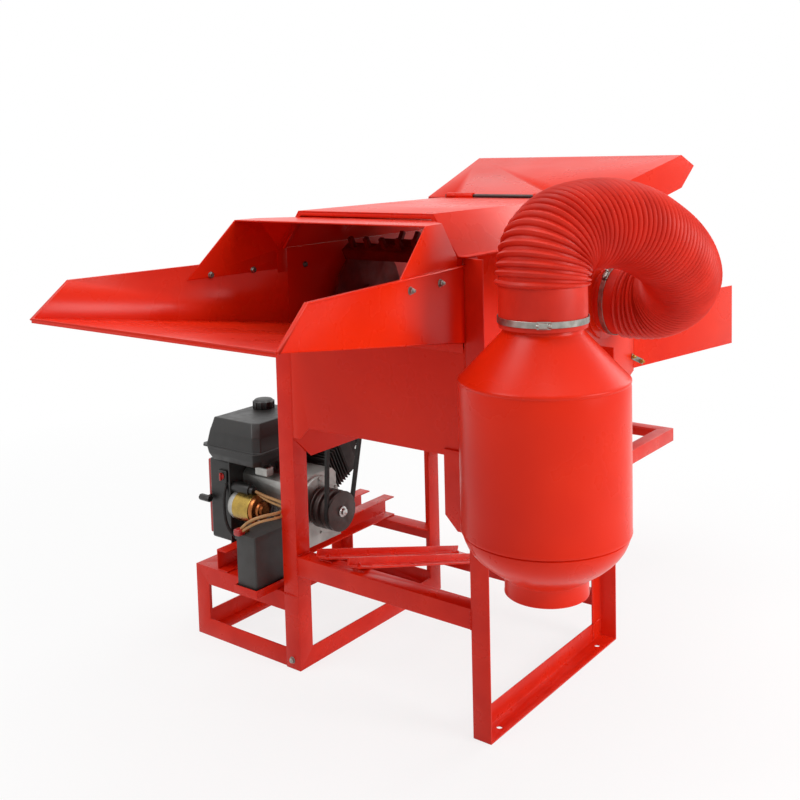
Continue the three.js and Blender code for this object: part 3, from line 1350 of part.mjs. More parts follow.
/** The plate on the front right leg with two arms that reach to the cyclone. */
function cycloneBracket() {
  const b = CYCLONE_BRACKET;
  const legX = [FRAME.length, FRAME.length + FRAME.iron];
  const frontY = -SEAT - b.wall;
  const x0 = legX[1] - b.forward;
  const outline = [
    [b.topZ, x0], [b.topZ, legX[1]], [b.bottomZ, legX[1]], [b.bottomZ, x0 + b.chamfer], [b.bottomZ + b.chamfer, x0],
  ];
  const plate = prism('y', outline, frontY, -SEAT);
  const arms = [0, 1].map((i) => {
    const low = b.bottomZ + b.armInset + i * b.armPitch;
    return block(legX[1] - b.armHeight, cycloneX, frontY - b.armHeight, frontY + SINK, low, low + b.armHeight);
  });
  return cut(join(plate, arms), cycloneShell(SEAT));
}

add('cyclone_bracket', cycloneBracket(), RED_PAINT);

// Route of the hose's middle line, from the cyclone's collar over the arch to the fan outlet: how far it lies out
// from the right legs, how far back, and how high.
const HOSE_ROUTE = [
  [241, -70, 980], [241, -70, 1035], [241, -70, 1090], [244, -52, 1150], [256, 5, 1195], [278, 80, 1213],
  [304, 165, 1211], [324, 260, 1186], [332, 350, 1140], [330, 440, 1088], [318, 525, 1035], [290, 603, 982],
  [236, 655, 948], [168, 676, 936], [111, 680, 935], [56, 680, 935], [16, 680, 935],
];

const hosePath = new THREE.CatmullRomCurve3(
  HOSE_ROUTE.map(([out, y, z]) => new THREE.Vector3(FRAME.length + out, y, z)), false, 'centripetal',
);

/** Rings of points round the hose's middle line at shares of its length, turned as little as the bends allow. */
function hoseFrames() {
  const { steps } = HOSE;
  const points = hosePath.getSpacedPoints(steps);
  const frames = [];
  let across = X_AXIS.clone();
  for (let i = 0; i <= steps; i += 1) {
    const tangent = points[Math.min(i + 1, steps)].clone().sub(points[Math.max(i - 1, 0)]).normalize();
    across = across.clone().sub(tangent.clone().multiplyScalar(across.dot(tangent))).normalize();
    frames.push({ point: points[i], across, up: tangent.clone().cross(across) });
  }
  return frames;
}

/** One ring of the hose at a share of its length. */
function hoseRing(frames, share, radius) {
  const frame = frames[Math.round(share * HOSE.steps)];
  return Array.from({ length: HOSE.sides }, (_, i) => {
    const angle = (2 * Math.PI * i) / HOSE.sides;
    const offset = frame.across.clone().multiplyScalar(radius * Math.cos(angle)).addScaledVector(frame.up, radius * Math.sin(angle));
    return frame.point.clone().add(offset);
  });
}

/** The ribbed hose with its bore: one closed wall whose ends lie square over the two collars. */
function hose() {
  const h = HOSE;
  const frames = hoseFrames();
  const length = hosePath.getLength();
  const cuffShare = h.cuff / length;
  const bore = boreFor(CYCLONE.collarRadius, h.sides);
  const ribShare = (1 - 2 * cuffShare) / h.ribs;
  const outside = [hoseRing(frames, 0, h.valleyRadius), hoseRing(frames, cuffShare, h.valleyRadius)];
  for (let i = 0; i < h.ribs; i += 1) {
    const start = cuffShare + ribShare * i;
    outside.push(hoseRing(frames, start + ribShare / 2, h.crestRadius), hoseRing(frames, start + ribShare, h.valleyRadius));
  }
  outside.push(hoseRing(frames, 1, h.valleyRadius));
  const inside = [hoseRing(frames, 0, bore), hoseRing(frames, cuffShare, bore)];
  for (let i = h.ribsPerBoreRing; i <= h.ribs; i += h.ribsPerBoreRing) {
    inside.push(hoseRing(frames, cuffShare + ribShare * i, bore));
  }
  inside.push(hoseRing(frames, 1, bore));
  printLeastGap(outside);
  const wall = [...outside, ...inside.reverse(), outside[0]];
  return tubeOf(wall);
}

/** Prints the least gap between stretches of the hose that are more than two diameters apart along it. */
function printLeastGap(rings) {
  const apart = Math.ceil((4 * HOSE.crestRadius * rings.length) / hosePath.getLength());
  let least = Infinity;
  for (let i = 0; i < rings.length; i += 1) {
    for (let j = i + apart; j < rings.length; j += 1) {
      for (const a of rings[i]) for (const b of rings[j]) least = Math.min(least, a.distanceTo(b));
    }
  }
  console.log(`hose: length ${hosePath.getLength().toFixed(0)} mm, least gap to itself ${least.toFixed(1)} mm`);
}

/** A closed wall through rings that come back to the first one. */
function tubeOf(rings) {
  const position = [];
  const put = (...points) => points.forEach((point) => position.push(point.x, point.y, point.z));
  for (let r = 0; r + 1 < rings.length; r += 1) {
    const count = rings[r].length;
    for (let i = 0; i < count; i += 1) {
      const next = (i + 1) % count;
      put(rings[r][i], rings[r][next], rings[r + 1][next]);
      put(rings[r][i], rings[r + 1][next], rings[r + 1][i]);
    }
  }
  const geometry = new THREE.BufferGeometry();
  geometry.setAttribute('position', new THREE.BufferAttribute(new Float32Array(position), 3));
  return solidOf(geometry);
}

add('hose', hose(), RED_HOSE);

/** A band clamp round the hose's cuff, with its screw housing. */
function bandClamp(axis, x, y, z, lug) {
  const { width, wall } = CLAMP;
  const inner = boreFor(HOSE.valleyRadius, CYCLONE.sides);
  const along = { x, z }[axis];
  const band = pipe(axis, axis === 'x' ? 0 : x, y, axis === 'z' ? 0 : z, inner + wall, inner, along, along + width, CYCLONE.sides);
  const tools = pipe(axis, axis === 'x' ? 0 : x, y, axis === 'z' ? 0 : z, inner + wall, inner, along, along + width, CYCLONE.sides);
  return join(band, cut(lug(inner, along, width), filled(axis, x, y, z, inner), tools));
}

/** A round bar that fills a clamp's bore, to trim its lug. */
function filled(axis, x, y, z, radius) {
  const along = { x, z }[axis];
  return rod(axis, axis === 'x' ? 0 : x, y, axis === 'z' ? 0 : z, radius + CLAMP.wall / 2, along - CLAMP.lug, along + CLAMP.lug * 2, CYCLONE.sides);
}

const lowerClampZ = HOSE_ROUTE[0][2] + CLAMP.inset;
add('hose_clamp_lower', bandClamp('z', cycloneX, CYCLONE.y, lowerClampZ, (inner, low, width) => {
  const { lug } = CLAMP;
  const box = block(
    cycloneX - lug / 2, cycloneX + lug, CYCLONE.y - inner - lug / 2, CYCLONE.y - inner + lug / 4, low - SINK, low + width + SINK,
  );
  return turnedAbout(box, Z_AXIS, CLAMP.lowerTurn, cycloneX, CYCLONE.y, 0);
}), BRIGHT_STEEL);

const upperClampX = FRAME.length + HOSE_ROUTE[HOSE_ROUTE.length - 1][0] + CLAMP.inset;
add('hose_clamp_upper', bandClamp('x', upperClampX, FAN.y, FAN.z, (inner, low, width) => {
  const { lug } = CLAMP;
  const box = block(low - SINK, low + width + SINK, FAN.y - lug, FAN.y + lug / 2, FAN.z + inner - lug / 4, FAN.z + inner + lug / 2);
  return turnedAbout(box, X_AXIS, CLAMP.upperTurn, 0, FAN.y, FAN.z);
}), BRIGHT_STEEL);

// The whole machine is placed with its origin on the ground, in the middle of its outline.
const outlineBox = new THREE.Box3().setFromObject(machine);
const outlineMiddle = outlineBox.getCenter(new THREE.Vector3());
machine.position.set(-outlineMiddle.x, -outlineMiddle.y, -outlineBox.min.z);

export default machine;
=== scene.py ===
"""Dresses the threshing machine: painted sheet metal, angle iron, ribbed hose, cyclone, belt drive and engine.

Sizes are in millimetres. Places are in millimetres from the heel of the left front leg, X right, Y back and Z up.
"""

import logging
import math
from dataclasses import dataclass
from enum import Enum
from functools import cache
from typing import Iterable, Optional, Sequence, Union

import bpy
from mathutils import Matrix, Vector


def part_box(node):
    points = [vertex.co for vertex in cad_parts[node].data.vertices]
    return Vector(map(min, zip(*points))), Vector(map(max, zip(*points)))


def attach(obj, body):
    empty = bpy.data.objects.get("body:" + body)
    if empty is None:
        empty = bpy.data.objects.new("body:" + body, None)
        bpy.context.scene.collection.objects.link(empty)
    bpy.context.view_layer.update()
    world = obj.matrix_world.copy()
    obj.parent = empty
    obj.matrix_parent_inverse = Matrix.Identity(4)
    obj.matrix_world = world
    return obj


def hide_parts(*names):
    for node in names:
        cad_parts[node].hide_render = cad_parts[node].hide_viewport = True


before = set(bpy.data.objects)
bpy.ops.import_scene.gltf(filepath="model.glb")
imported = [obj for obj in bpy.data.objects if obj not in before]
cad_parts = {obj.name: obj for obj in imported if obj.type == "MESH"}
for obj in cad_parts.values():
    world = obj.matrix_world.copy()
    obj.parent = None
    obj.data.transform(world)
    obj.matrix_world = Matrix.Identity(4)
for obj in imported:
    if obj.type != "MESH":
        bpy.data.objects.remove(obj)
LOG = logging.getLogger("threshing_machine")
MM = 0.001
MERGE = 0.00001  # metres within which two corners are one
TIP = 0.001  # radius of the ring that is merged to close an end
SLIVER = 0.01  # rounding of the block that a slab starts from, which is merged away again
SAME_PLANE = math.radians(1.0)  # faces that lean less than this are one
SPOILT = 1.05  # growth in area that shows that rounding has spoilt a merged face
WHITE = (1.0, 1.0, 1.0, 1.0)
Piece = bpy.types.Object
Point = tuple[float, float, float]
Span = tuple[float, float]
Profile = Sequence[tuple[float, float]]


class Axis(Enum):
    """The machine's axes that pieces are turned about, as the turn from +Z onto each."""

    X = Matrix.Rotation(math.radians(90), 4, "Y")
    Z = Matrix.Identity(4)


class Body(Enum):
    """Bodies of the frame that pieces ride on."""

    MACHINE = "machine"
    DRUM = "drum"
    CRANK = "crank"
    FAN = "fan"
    COVER = "cover"
    CAP = "tank_cap"
    HANDLE = "pull_handle"
    THROTTLE = "throttle"
    CHOKE = "choke"
    SWITCH = "ignition"


class Slot(Enum):
    """The record's material slots."""

    RED_PAINT = "red_paint"
    RED_HOSE = "red_hose"
    RED_PLASTIC = "red_plastic"
    BLACK_PLASTIC = "black_plastic"
    BLACK_STEEL = "black_steel"
    GREY_STEEL = "grey_steel"
    BRIGHT_STEEL = "bright_steel"
    CAST_BROWN = "cast_brown"
    ALUMINIUM = "aluminium"
    ZINC_YELLOW = "zinc_yellow"
    COPPER = "copper"
    BELT_RUBBER = "belt_rubber"


# ---- finishes


def linear(hex_colour: str) -> tuple[float, float, float, float]:
    """Turns an sRGB hex colour into linear values.

    Args:
        hex_colour: six hex digits.

    Returns:
        Red, green, blue and alpha.
    """
    channels = [int(hex_colour[i:i + 2], 16) / 255 for i in (0, 2, 4)]
    red, green, blue = (c / 12.92 if c <= 0.04045 else ((c + 0.055) / 1.055) ** 2.4 for c in channels)
    return (red, green, blue, 1.0)


def per_mm(size: float) -> float:
    """Scale of a pattern whose features are this many millimetres wide."""
    return 1.0 / (size * MM)


def feed(tree: bpy.types.NodeTree, node: bpy.types.Node, inputs: dict) -> None:
    """Sets or links a node's inputs.

    Args:
        tree: the node's tree.
        node: the node.
        inputs: what each input gets: a number or colour, or the output socket that feeds it.
    """
    for name, value in inputs.items():
        if isinstance(value, bpy.types.NodeSocket):
            tree.links.new(value, node.inputs[name])
        else:
            node.inputs[name].default_value = value


def add_node(
    tree: bpy.types.NodeTree, kind: str, inputs: Optional[dict] = None, stops: Sequence[tuple[float, str]] = (),
    **settings: object,
) -> bpy.types.Node:
    """Adds a shader node with its settings and links.

    Args:
        tree: the material's node tree.
        kind: the node's type.
        inputs: what each input gets, as in feed.
        stops: the two ends of a colour ramp, each a place and a hex colour.
        **settings: properties of the node itself.

    Returns:
        The new node.
    """
    node = tree.nodes.new(kind)
    for name, value in settings.items():
        setattr(node, name, value)
    feed(tree, node, inputs or {})
    for element, (place, colour) in zip(node.color_ramp.elements if stops else (), stops):
        element.position = place
        element.color = linear(colour)
    return node


@dataclass(frozen=True)
class Grain:
    """The fine relief of a surface: its width, how strongly it shows and its depth."""

    size: float
    strength: float
    depth: float


@dataclass(frozen=True)
class Speck:
    """Spots of another colour: the colour, their width and the level of the pattern from which they show."""

    colour: str
    size: float
    level: float


@dataclass(frozen=True)
class Finish:
    """A real surface: what it is made of, how it was made, and how big its marks are.

    The two tones change slowly over patches, and the roughness over hazes. The real grain of paint, plastic and cast
    metal is a few tenths of a millimetre wide, too fine to show from where the camera stands, so it is drawn coarser.
    """

    name: str
    slot: Slot
    tones: tuple[str, str]
    patch: float
    roughness: Span
    haze: float
    grain: Grain
    metallic: float = 0.0
    specular: float = 0.5
    coat: float = 0.0
    coat_roughness: float = 0.1
    stretch: Point = (1.0, 1.0, 1.0)
    speck: Optional[Speck] = None
    tone_edges: Span = (0.3, 0.72)
    haze_edges: Span = (0.3, 0.7)
    speck_edge: float = 0.06

    def build(self) -> bpy.types.Material:
        """Makes the material's nodes.

        Returns:
            The material.
        """
        material = bpy.data.materials.new(self.name)
        material.use_nodes = True
        tree = material.node_tree
        place = add_node(tree, "ShaderNodeTexCoord").outputs["Object"]
        drawn = add_node(tree, "ShaderNodeMapping", {"Vector": place, "Scale": self.stretch}).outputs["Vector"]
        patches = add_node(
            tree, "ShaderNodeTexNoise",
            {"Vector": place, "Scale": per_mm(self.patch), "Detail": 3.0, "Roughness": 0.55},
        )
        stops = list(zip(self.tone_edges, self.tones))
        colour = add_node(tree, "ShaderNodeValToRGB", {"Fac": patches.outputs["Fac"]}, stops).outputs["Color"]
        if self.speck:
            spots = add_node(
                tree, "ShaderNodeTexNoise",
                {"Vector": drawn, "Scale": per_mm(self.speck.size), "Detail": 4.0, "Roughness": 0.7},
            )
            stops = [(self.speck.level, "000000"), (min(1.0, self.speck.level + self.speck_edge), "FFFFFF")]
            mask = add_node(tree, "ShaderNodeValToRGB", {"Fac": spots.outputs["Fac"]}, stops).outputs["Color"]
            blend = {"Factor": mask, 6: colour, 7: linear(self.speck.colour)}
            colour = add_node(tree, "ShaderNodeMix", blend, data_type="RGBA").outputs[2]
        hazes = add_node(tree, "ShaderNodeTexNoise", {"Vector": drawn, "Scale": per_mm(self.haze), "Detail": 4.0})
        spread = {
            "Value": hazes.outputs["Fac"], "From Min": self.haze_edges[0], "From Max": self.haze_edges[1],
            "To Min": self.roughness[0], "To Max": self.roughness[1],
        }
        grains = add_node(
            tree, "ShaderNodeTexNoise", {"Vector": drawn, "Scale": per_mm(self.grain.size), "Detail": 2.0},
        )
        relief = {
            "Height": grains.outputs["Fac"], "Strength": self.grain.strength, "Distance": self.grain.depth * MM,
        }
        feed(tree, tree.nodes["Principled BSDF"], {
            "Base Color": colour,
            "Roughness": add_node(tree, "ShaderNodeMapRange", spread).outputs["Result"],
            "Normal": add_node(tree, "ShaderNodeBump", relief).outputs["Normal"],
            "Metallic": self.metallic,
            "Specular IOR Level": self.specular,
            "Coat Weight": self.coat,
            "Coat Roughness": self.coat_roughness,
        })
        return material


class Surface(Enum):
    """The finishes of the machine."""

    # Air-dried enamel sprayed on steel sheet: slight orange peel over pressed sheet that isn't quite flat.
    ENAMEL = Finish(
        "red_enamel_on_sheet_steel", Slot.RED_PAINT, ("E42B0A", "D82208"), patch=300, roughness=(0.24, 0.34),
        haze=160, grain=Grain(9.0, 0.3, 0.03), specular=0.18,
    )
    # The same enamel on rolled and welded angle iron, where the mill skin shows through as a rougher relief.
    ENAMEL_IRON = Finish(
        "red_enamel_on_angle_iron", Slot.RED_PAINT, ("E0290F", "CE1F0C"), patch=120, roughness=(0.24, 0.4),
        haze=60, grain=Grain(7.0, 0.35, 0.12), speck=Speck("A5170B", 7.0, 0.74), specular=0.22,
    )
    # The enamel inside the body: matt, its tones darkened as painted shade of the dim inside, with brown marks where
    # the straw has rubbed.
    ENAMEL_DUSTY = Finish(
        "shade_darkened_straw_rubbed_red_enamel", Slot.GREY_STEEL, ("7E170D", "62120B"), patch=45, roughness=(0.6, 0.8),
        haze=18, grain=Grain(2.5, 0.3, 0.15), speck=Speck("4A2A20", 7.0, 0.68), specular=0.12,
    )
    # Soft PVC drawn over a wire spiral: satin, with a fine calendered grain.
    HOSE_PVC = Finish(
        "red_pvc_hose", Slot.RED_HOSE, ("D42A15", "C0210F"), patch=90, roughness=(0.4, 0.52),
        haze=25, grain=Grain(1.2, 0.25, 0.12), specular=0.25,
    )
    # Blow-moulded and injection-moulded black plastic: half matt from a spark-eroded grain.
    MOULDED_BLACK = Finish(
        "moulded_black_plastic", Slot.BLACK_PLASTIC, ("1E1C1A", "171615"), patch=50, roughness=(0.36, 0.48),
        haze=20, grain=Grain(1.2, 0.3, 0.15),
    )
    # Battery case of moulded polypropylene: greyer and a little dusty.
    BATTERY_CASE = Finish(
        "grey_black_polypropylene", Slot.BLACK_PLASTIC, ("33302E", "282624"), patch=70, roughness=(0.42, 0.56),
        haze=30, grain=Grain(1.6, 0.25, 0.12),
    )
    # Injection-moulded red plastic from a polished mould: smooth, with a thin shine.
    MOULDED_RED = Finish(
        "moulded_red_plastic", Slot.RED_PLASTIC, ("B5211B", "A11B17"), patch=60, roughness=(0.26, 0.36),
        haze=30, grain=Grain(1.5, 0.12, 0.1), coat=0.15,
    )
    # Steel sheet with baked black heat paint: matt, with a sandy skin.
    HEAT_BLACK = Finish(
        "baked_black_heat_paint", Slot.BLACK_STEEL, ("201D1B", "2B2624"), patch=30, roughness=(0.42, 0.62),
        haze=14, grain=Grain(1.4, 0.35, 0.2), metallic=0.2,
    )
    # Sand-cast iron under thin brown-black dip paint: the sand's relief shows through.
    CAST_IRON = Finish(
        "dipped_cast_iron", Slot.GREY_STEEL, ("4A3A36", "3A2D2A"), patch=26, roughness=(0.34, 0.5),
        haze=10, grain=Grain(1.8, 0.5, 0.3), metallic=0.35,
    )
    # Pressure die-cast aluminium, shot-blasted: pale, even and half matt.
    DIE_CAST = Finish(
        "blasted_die_cast_aluminium", Slot.ALUMINIUM, ("B4B3AF", "9B9A96"), patch=40, roughness=(0.38, 0.54),
        haze=12, grain=Grain(1.0, 0.4, 0.2), metallic=0.9,
    )
    # Turned and ground steel: bright, with marks drawn out along the shaft.
    GROUND_STEEL = Finish(
        "ground_bright_steel", Slot.BRIGHT_STEEL, ("CFCFCD", "B6B5B2"), patch=24, roughness=(0.18, 0.32),
        haze=6, grain=Grain(0.8, 0.2, 0.05), metallic=1.0, stretch=(0.12, 1.0, 1.0),
    )
    # Hot-rolled steel worn grey by straw, with rust left in the hollows.
    WORN_STEEL = Finish(
        "straw_worn_steel", Slot.GREY_STEEL, ("77746F", "55524E"), patch=34, roughness=(0.3, 0.52),
        haze=14, grain=Grain(2.2, 0.3, 0.2), metallic=0.85, speck=Speck("4C3A2C", 5.0, 0.66),
    )
    # Zinc plate with yellow chromate: a pale gold.
    YELLOW_ZINC = Finish(
        "yellow_chromate_zinc", Slot.BRIGHT_STEEL, ("B99A4E", "9A7F45"), patch=22, roughness=(0.24, 0.34),
        haze=16, grain=Grain(1.4, 0.15, 0.015), metallic=1.0,
    )
    # Drawn copper, browned by air: darker in patches as wide as a fingertip.
    COPPER = Finish(
        "drawn_copper", Slot.COPPER, ("B4713F", "8C5130"), patch=14, roughness=(0.25, 0.42),
        haze=6, grain=Grain(0.9, 0.2, 0.05), metallic=1.0,
    )
    # Hot-dipped zinc on straps and bolts: grey, with the crystals' patches.
    GALVANISED = Finish(
        "galvanised_strap", Slot.BRIGHT_STEEL, ("A7A49E", "86837C"), patch=16, roughness=(0.3, 0.4),
        haze=14, grain=Grain(3.0, 0.2, 0.05), metallic=1.0,
    )
    # Wrapped rubber of V-belts and black leads: dusty, with the weave of its cover.
    BELT = Finish(
        "wrapped_belt_rubber", Slot.BELT_RUBBER, ("1B1B1B", "262523"), patch=20, roughness=(0.6, 0.8),
        haze=8, grain=Grain(0.9, 0.6, 0.2),
    )
    # Extruded tan rubber round the battery's leads: satin and slightly handled.
    LEAD_TAN = Finish(
        "tan_rubber_lead", Slot.BELT_RUBBER, ("B98F5A", "A37B4B"), patch=15, roughness=(0.4, 0.55),
        haze=8, grain=Grain(0.8, 0.2, 0.05),
    )
    # Fired and glazed ceramic of the spark plug: white and glassy.
    CERAMIC = Finish(
        "glazed_white_ceramic", Slot.BLACK_PLASTIC, ("EDEAE2", "E2DED3"), patch=12, roughness=(0.1, 0.18),
        haze=8, grain=Grain(1.0, 0.05, 0.02),
    )


@cache
def material_of(surface: Surface) -> bpy.types.Material:
    """The material of a finish, made once."""
    return surface.value.build()


# ---- workshop: the ways that pieces are made


class Shop:
    """Tools that model, place and finish pieces."""

    heel = Vector((0.0, 0.0, 0.0))

    @classmethod
    def settle(cls) -> None:
        """Reads where the left front leg's heel stands in the frame."""
        low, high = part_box("left_end_frame")
        cls.heel = Vector((high[0], low[1], 0.0))

    @classmethod
    def spot(cls, x: float, y: float, z: float) -> Vector:
        """A place in the frame, in metres."""
        return cls.heel + Vector((x, y, z)) * MM

    @staticmethod
    def clear() -> None:
        """Leaves edit mode and selects nothing."""
        if bpy.context.object and bpy.context.object.mode != "OBJECT":
            bpy.ops.object.mode_set(mode="OBJECT")
        bpy.ops.object.select_all(action="DESELECT")

    @classmethod
    def take(cls, piece: Piece) -> None:
        """Makes one piece the only one selected.

        Args:
            piece: that piece.
        """
        cls.clear()
        piece.select_set(True)
        bpy.context.view_layer.objects.active = piece

    @classmethod
    def edit(cls, piece: Piece) -> None:
        """Opens a piece in edit mode with all of it selected.

        Args:
            piece: that piece.
        """
        cls.take(piece)
        bpy.ops.object.mode_set(mode="EDIT")
        bpy.ops.mesh.select_all(action="SELECT")

    @staticmethod
    def link(name: str, data: bpy.types.ID) -> Piece:
        """Puts data into the scene as an object.

        Args:
            name: the object's name.
            data: its mesh, curve, lamp or camera.

        Returns:
            The object.
        """
        piece = bpy.data.objects.new(name, data)
        bpy.context.scene.collection.objects.link(piece)
        return piece

    @classmethod
    def modify(cls, piece: Piece, kind: str, **settings: object) -> None:
        """Adds a modifier and applies it.

        Args:
            piece: what is modified.
            kind: the modifier's type.
            **settings: the modifier's properties.
        """
        cls.take(piece)
        modifier = piece.modifiers.new(kind.title(), kind)
        for name, value in settings.items():
            setattr(modifier, name, value)
        bpy.ops.object.modifier_apply(modifier=modifier.name)

    @classmethod
    def smooth(cls, piece: Piece, angle: float = 35.0) -> Piece:
        """Shades a piece smooth.

        Args:
            piece: what is shaded.
            angle: how sharp an edge may be and still be smooth, in degrees.

        Returns:
            The piece.
        """
        cls.take(piece)
        bpy.ops.object.shade_smooth_by_angle(angle=math.radians(angle))
        return piece

    @classmethod
    def soften(cls, piece: Piece, width: float, segments: int = 2, angle: float = 28.0) -> Piece:
        """Rounds a piece's edges.

        Args:
            piece: what is rounded.
            width: width of the rounding.
            segments: faces across it.
            angle: how sharp an edge has to be, in degrees.

        Returns:
            The piece.
        """
        cls.modify(
            piece, "BEVEL", width=width * MM, segments=segments, limit_method="ANGLE",
            angle_limit=math.radians(angle), harden_normals=False, use_clamp_overlap=True, miter_outer="MITER_ARC",
        )
        return cls.smooth(piece)

    @classmethod
    def from_solid(cls, node: str, name: str, width: float = 0.0, segments: int = 2) -> Piece:
        """Copies a solid of the frame, merges its loose faces and rounds its edges.

        Rounding can spoil a merged face that has several slots. Then the copy is made again without merging faces.

        Args:
            node: the solid.
            name: the new piece's name.
            width: width of the rounding, or 0 for none.
            segments: faces across it.

        Returns:
            The piece, in place.
        """
        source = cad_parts[node].data
        piece = cls.link(name, source)
        for merged in (True, False):
            piece.data = source.copy()
            cls.edit(piece)
            bpy.ops.mesh.remove_doubles(threshold=MERGE)
            if merged:
                bpy.ops.mesh.dissolve_limited(angle_limit=SAME_PLANE)
            bpy.ops.object.mode_set(mode="OBJECT")
            piece = cls.soften(piece, width, segments) if width > 0 else cls.smooth(piece)
            if cls.skin(piece.data) < SPOILT * cls.skin(source):
                break
        return piece

    @staticmethod
    def skin(mesh: bpy.types.Mesh) -> float:
        """The area of a mesh as it is drawn, in square metres."""
        mesh.calc_loop_triangles()
        return sum(triangle.area for triangle in mesh.loop_triangles)

    @classmethod
    def turned(cls, name: str, profile: Profile, sides: int, move: Matrix = Matrix.Identity(4)) -> Piece:
        """Turns a piece about +Z: a circle is extruded and sized from ring to ring of a profile.

        Args:
            name: the piece's name.
            profile: (radius, height). Radius 0 closes an end, and a profile that ends where it began makes a closed
                wall.
            sides: faces round it.
            move: where it goes from there.

        Returns:
            The piece, in place.
        """
        cls.clear()
        rings = [(max(radius, TIP), height) for radius, height in profile]
        bpy.ops.mesh.primitive_circle_add(
            vertices=sides, radius=rings[0][0] * MM, location=(0, 0, rings[0][1] * MM), fill_type="NOTHING",
        )
        piece = bpy.context.object
        piece.name = name
        bpy.ops.object.transform_apply(location=True, rotation=False, scale=False)
        cls.edit(piece)
        for (radius0, height0), (radius1, height1) in zip(rings, rings[1:]):
            bpy.ops.mesh.extrude_edges_move(TRANSFORM_OT_translate={"value": (0, 0, (height1 - height0) * MM)})
            grow = radius1 / radius0
            bpy.ops.transform.resize(value=(grow, grow, 1.0), center_override=(0, 0, height1 * MM))
        bpy.ops.mesh.select_all(action="SELECT")
        bpy.ops.mesh.remove_doubles(threshold=MERGE)
        bpy.ops.mesh.normals_make_consistent(inside=False)
        bpy.ops.object.mode_set(mode="OBJECT")
        piece.data.transform(move)
        return cls.smooth(piece)

    @classmethod
    def block(cls, name: str, low: Point, high: Point, width: float, segments: int = 2) -> Piece:
        """A block between two corners, with rounded edges.

        Args:
            name: the piece's name.
            low: its lowest corner.
            high: its highest corner.
            width: width of the rounding.
            segments: faces across it.

        Returns:
            The piece, in place.
        """
        cls.clear()
        bpy.ops.mesh.primitive_cube_add(size=1.0, location=(0, 0, 0))
        piece = bpy.context.object
        piece.name = name
        a, b = cls.spot(*low), cls.spot(*high)
        piece.data.transform(Matrix.Translation((a + b) / 2) @ Matrix.Diagonal((*(b - a), 1.0)))
        return cls.soften(piece, width, segments)

    @classmethod
    def slab(cls, name: str, low: Point, high: Point, corner: float, edge: float) -> Piece:
        """A block with large round corners about X and softer rims.

        Args:
            name: the piece's name.
            low: its lowest corner.
            high: its highest corner.
            corner: radius of the round corners.
            edge: rounding of the rims.

        Returns:
            The piece, in place.
        """
        piece = cls.block(name, low, high, SLIVER, 1)
        cls.edit(piece)
        bpy.ops.mesh.remove_doubles(threshold=MERGE * 4)
        bpy.ops.mesh.select_all(action="DESELECT")
        bpy.ops.object.mode_set(mode="OBJECT")
        for line in piece.data.edges:
            a, b = (piece.data.vertices[i].co for i in line.vertices)
            line.select = abs(a.y - b.y) < MERGE and abs(a.z - b.z) < MERGE
        bpy.ops.object.mode_set(mode="EDIT")
        bpy.ops.mesh.select_mode(type="EDGE")
        bpy.ops.mesh.bevel(offset=corner * MM, segments=8, profile=0.5)
        bpy.ops.mesh.select_mode(type="VERT")
        bpy.ops.object.mode_set(mode="OBJECT")
        return cls.soften(piece, edge, 4, 50)

    @classmethod
    def folded(cls, name: str, path: Sequence[Point], across: Point, wall: float, width: float = 0.4) -> Piece:
        """Folds a strip of sheet: its edge is extruded along a path, then given its thickness.

        Args:
            name: the piece's name.
            path: the folds of one edge.
            across: from that edge to the other.
            wall: thickness, laid to both sides evenly.
            width: rounding of the edges.

        Returns:
            The piece, in place.
        """
        cls.clear()
        bpy.ops.mesh.primitive_plane_add(size=1.0, location=(0, 0, 0))
        piece = bpy.context.object
        piece.name = name
        folds = [Vector(fold) for fold in path]
        side = Vector(across)
        for item in (*piece.data.vertices, *piece.data.edges, *piece.data.polygons):
            item.select = False
        for vertex, corner in zip(piece.data.vertices, (folds[0], folds[0] + side, folds[1], folds[1] + side)):
            vertex.co = cls.spot(*corner)
        for index in (2, 3):
            piece.data.vertices[index].select = True
        bpy.ops.object.mode_set(mode="EDIT")
        bpy.ops.mesh.select_mode(type="VERT")
        for start, end in zip(folds[1:], folds[2:]):
            bpy.ops.mesh.extrude_edges_move(TRANSFORM_OT_translate={"value": (end - start) * MM})
        bpy.ops.mesh.select_all(action="SELECT")
        bpy.ops.mesh.normals_make_consistent(inside=False)
        bpy.ops.object.mode_set(mode="OBJECT")
        cls.modify(piece, "SOLIDIFY", thickness=wall * MM, offset=0.0, use_even_offset=True)
        return cls.soften(piece, width)

    @classmethod
    def line(cls, name: str, kind: str, places: Sequence[Vector]) -> Piece:
        """Draws a curve through points.

        Args:
            name: the curve's name.
            kind: the type of its spline.
            places: the points, in metres.

        Returns:
            The curve's object.
        """
        curve = bpy.data.curves.new(name, "CURVE")
        curve.dimensions = "3D"
        spline = curve.splines.new(kind)
        spline.points.add(len(places) - 1)
        for point, place in zip(spline.points, places):
            point.co = (*place, 1.0)
        return cls.link(name, curve)

    @classmethod
    def tube(cls, name: str, path: Sequence[Point], radius: float) -> Piece:
        """Bends a round rod or lead in a smooth curve.

        Args:
            name: the piece's name.
            path: the points that guide it.
            radius: the rod's radius.

        Returns:
            The piece, in place.
        """
        cls.clear()
        piece = cls.line(name, "NURBS", [cls.spot(*place) for place in path])
        curve = piece.data
        curve.bevel_depth = radius * MM
        curve.bevel_resolution = 3
        curve.use_fill_caps = True
        spline = curve.splines[0]
        spline.order_u = min(4, len(path))
        spline.use_endpoint_u = True
        spline.resolution_u = 10
        cls.take(piece)
        bpy.ops.object.convert(target="MESH")
        return cls.smooth(bpy.context.object, 50)

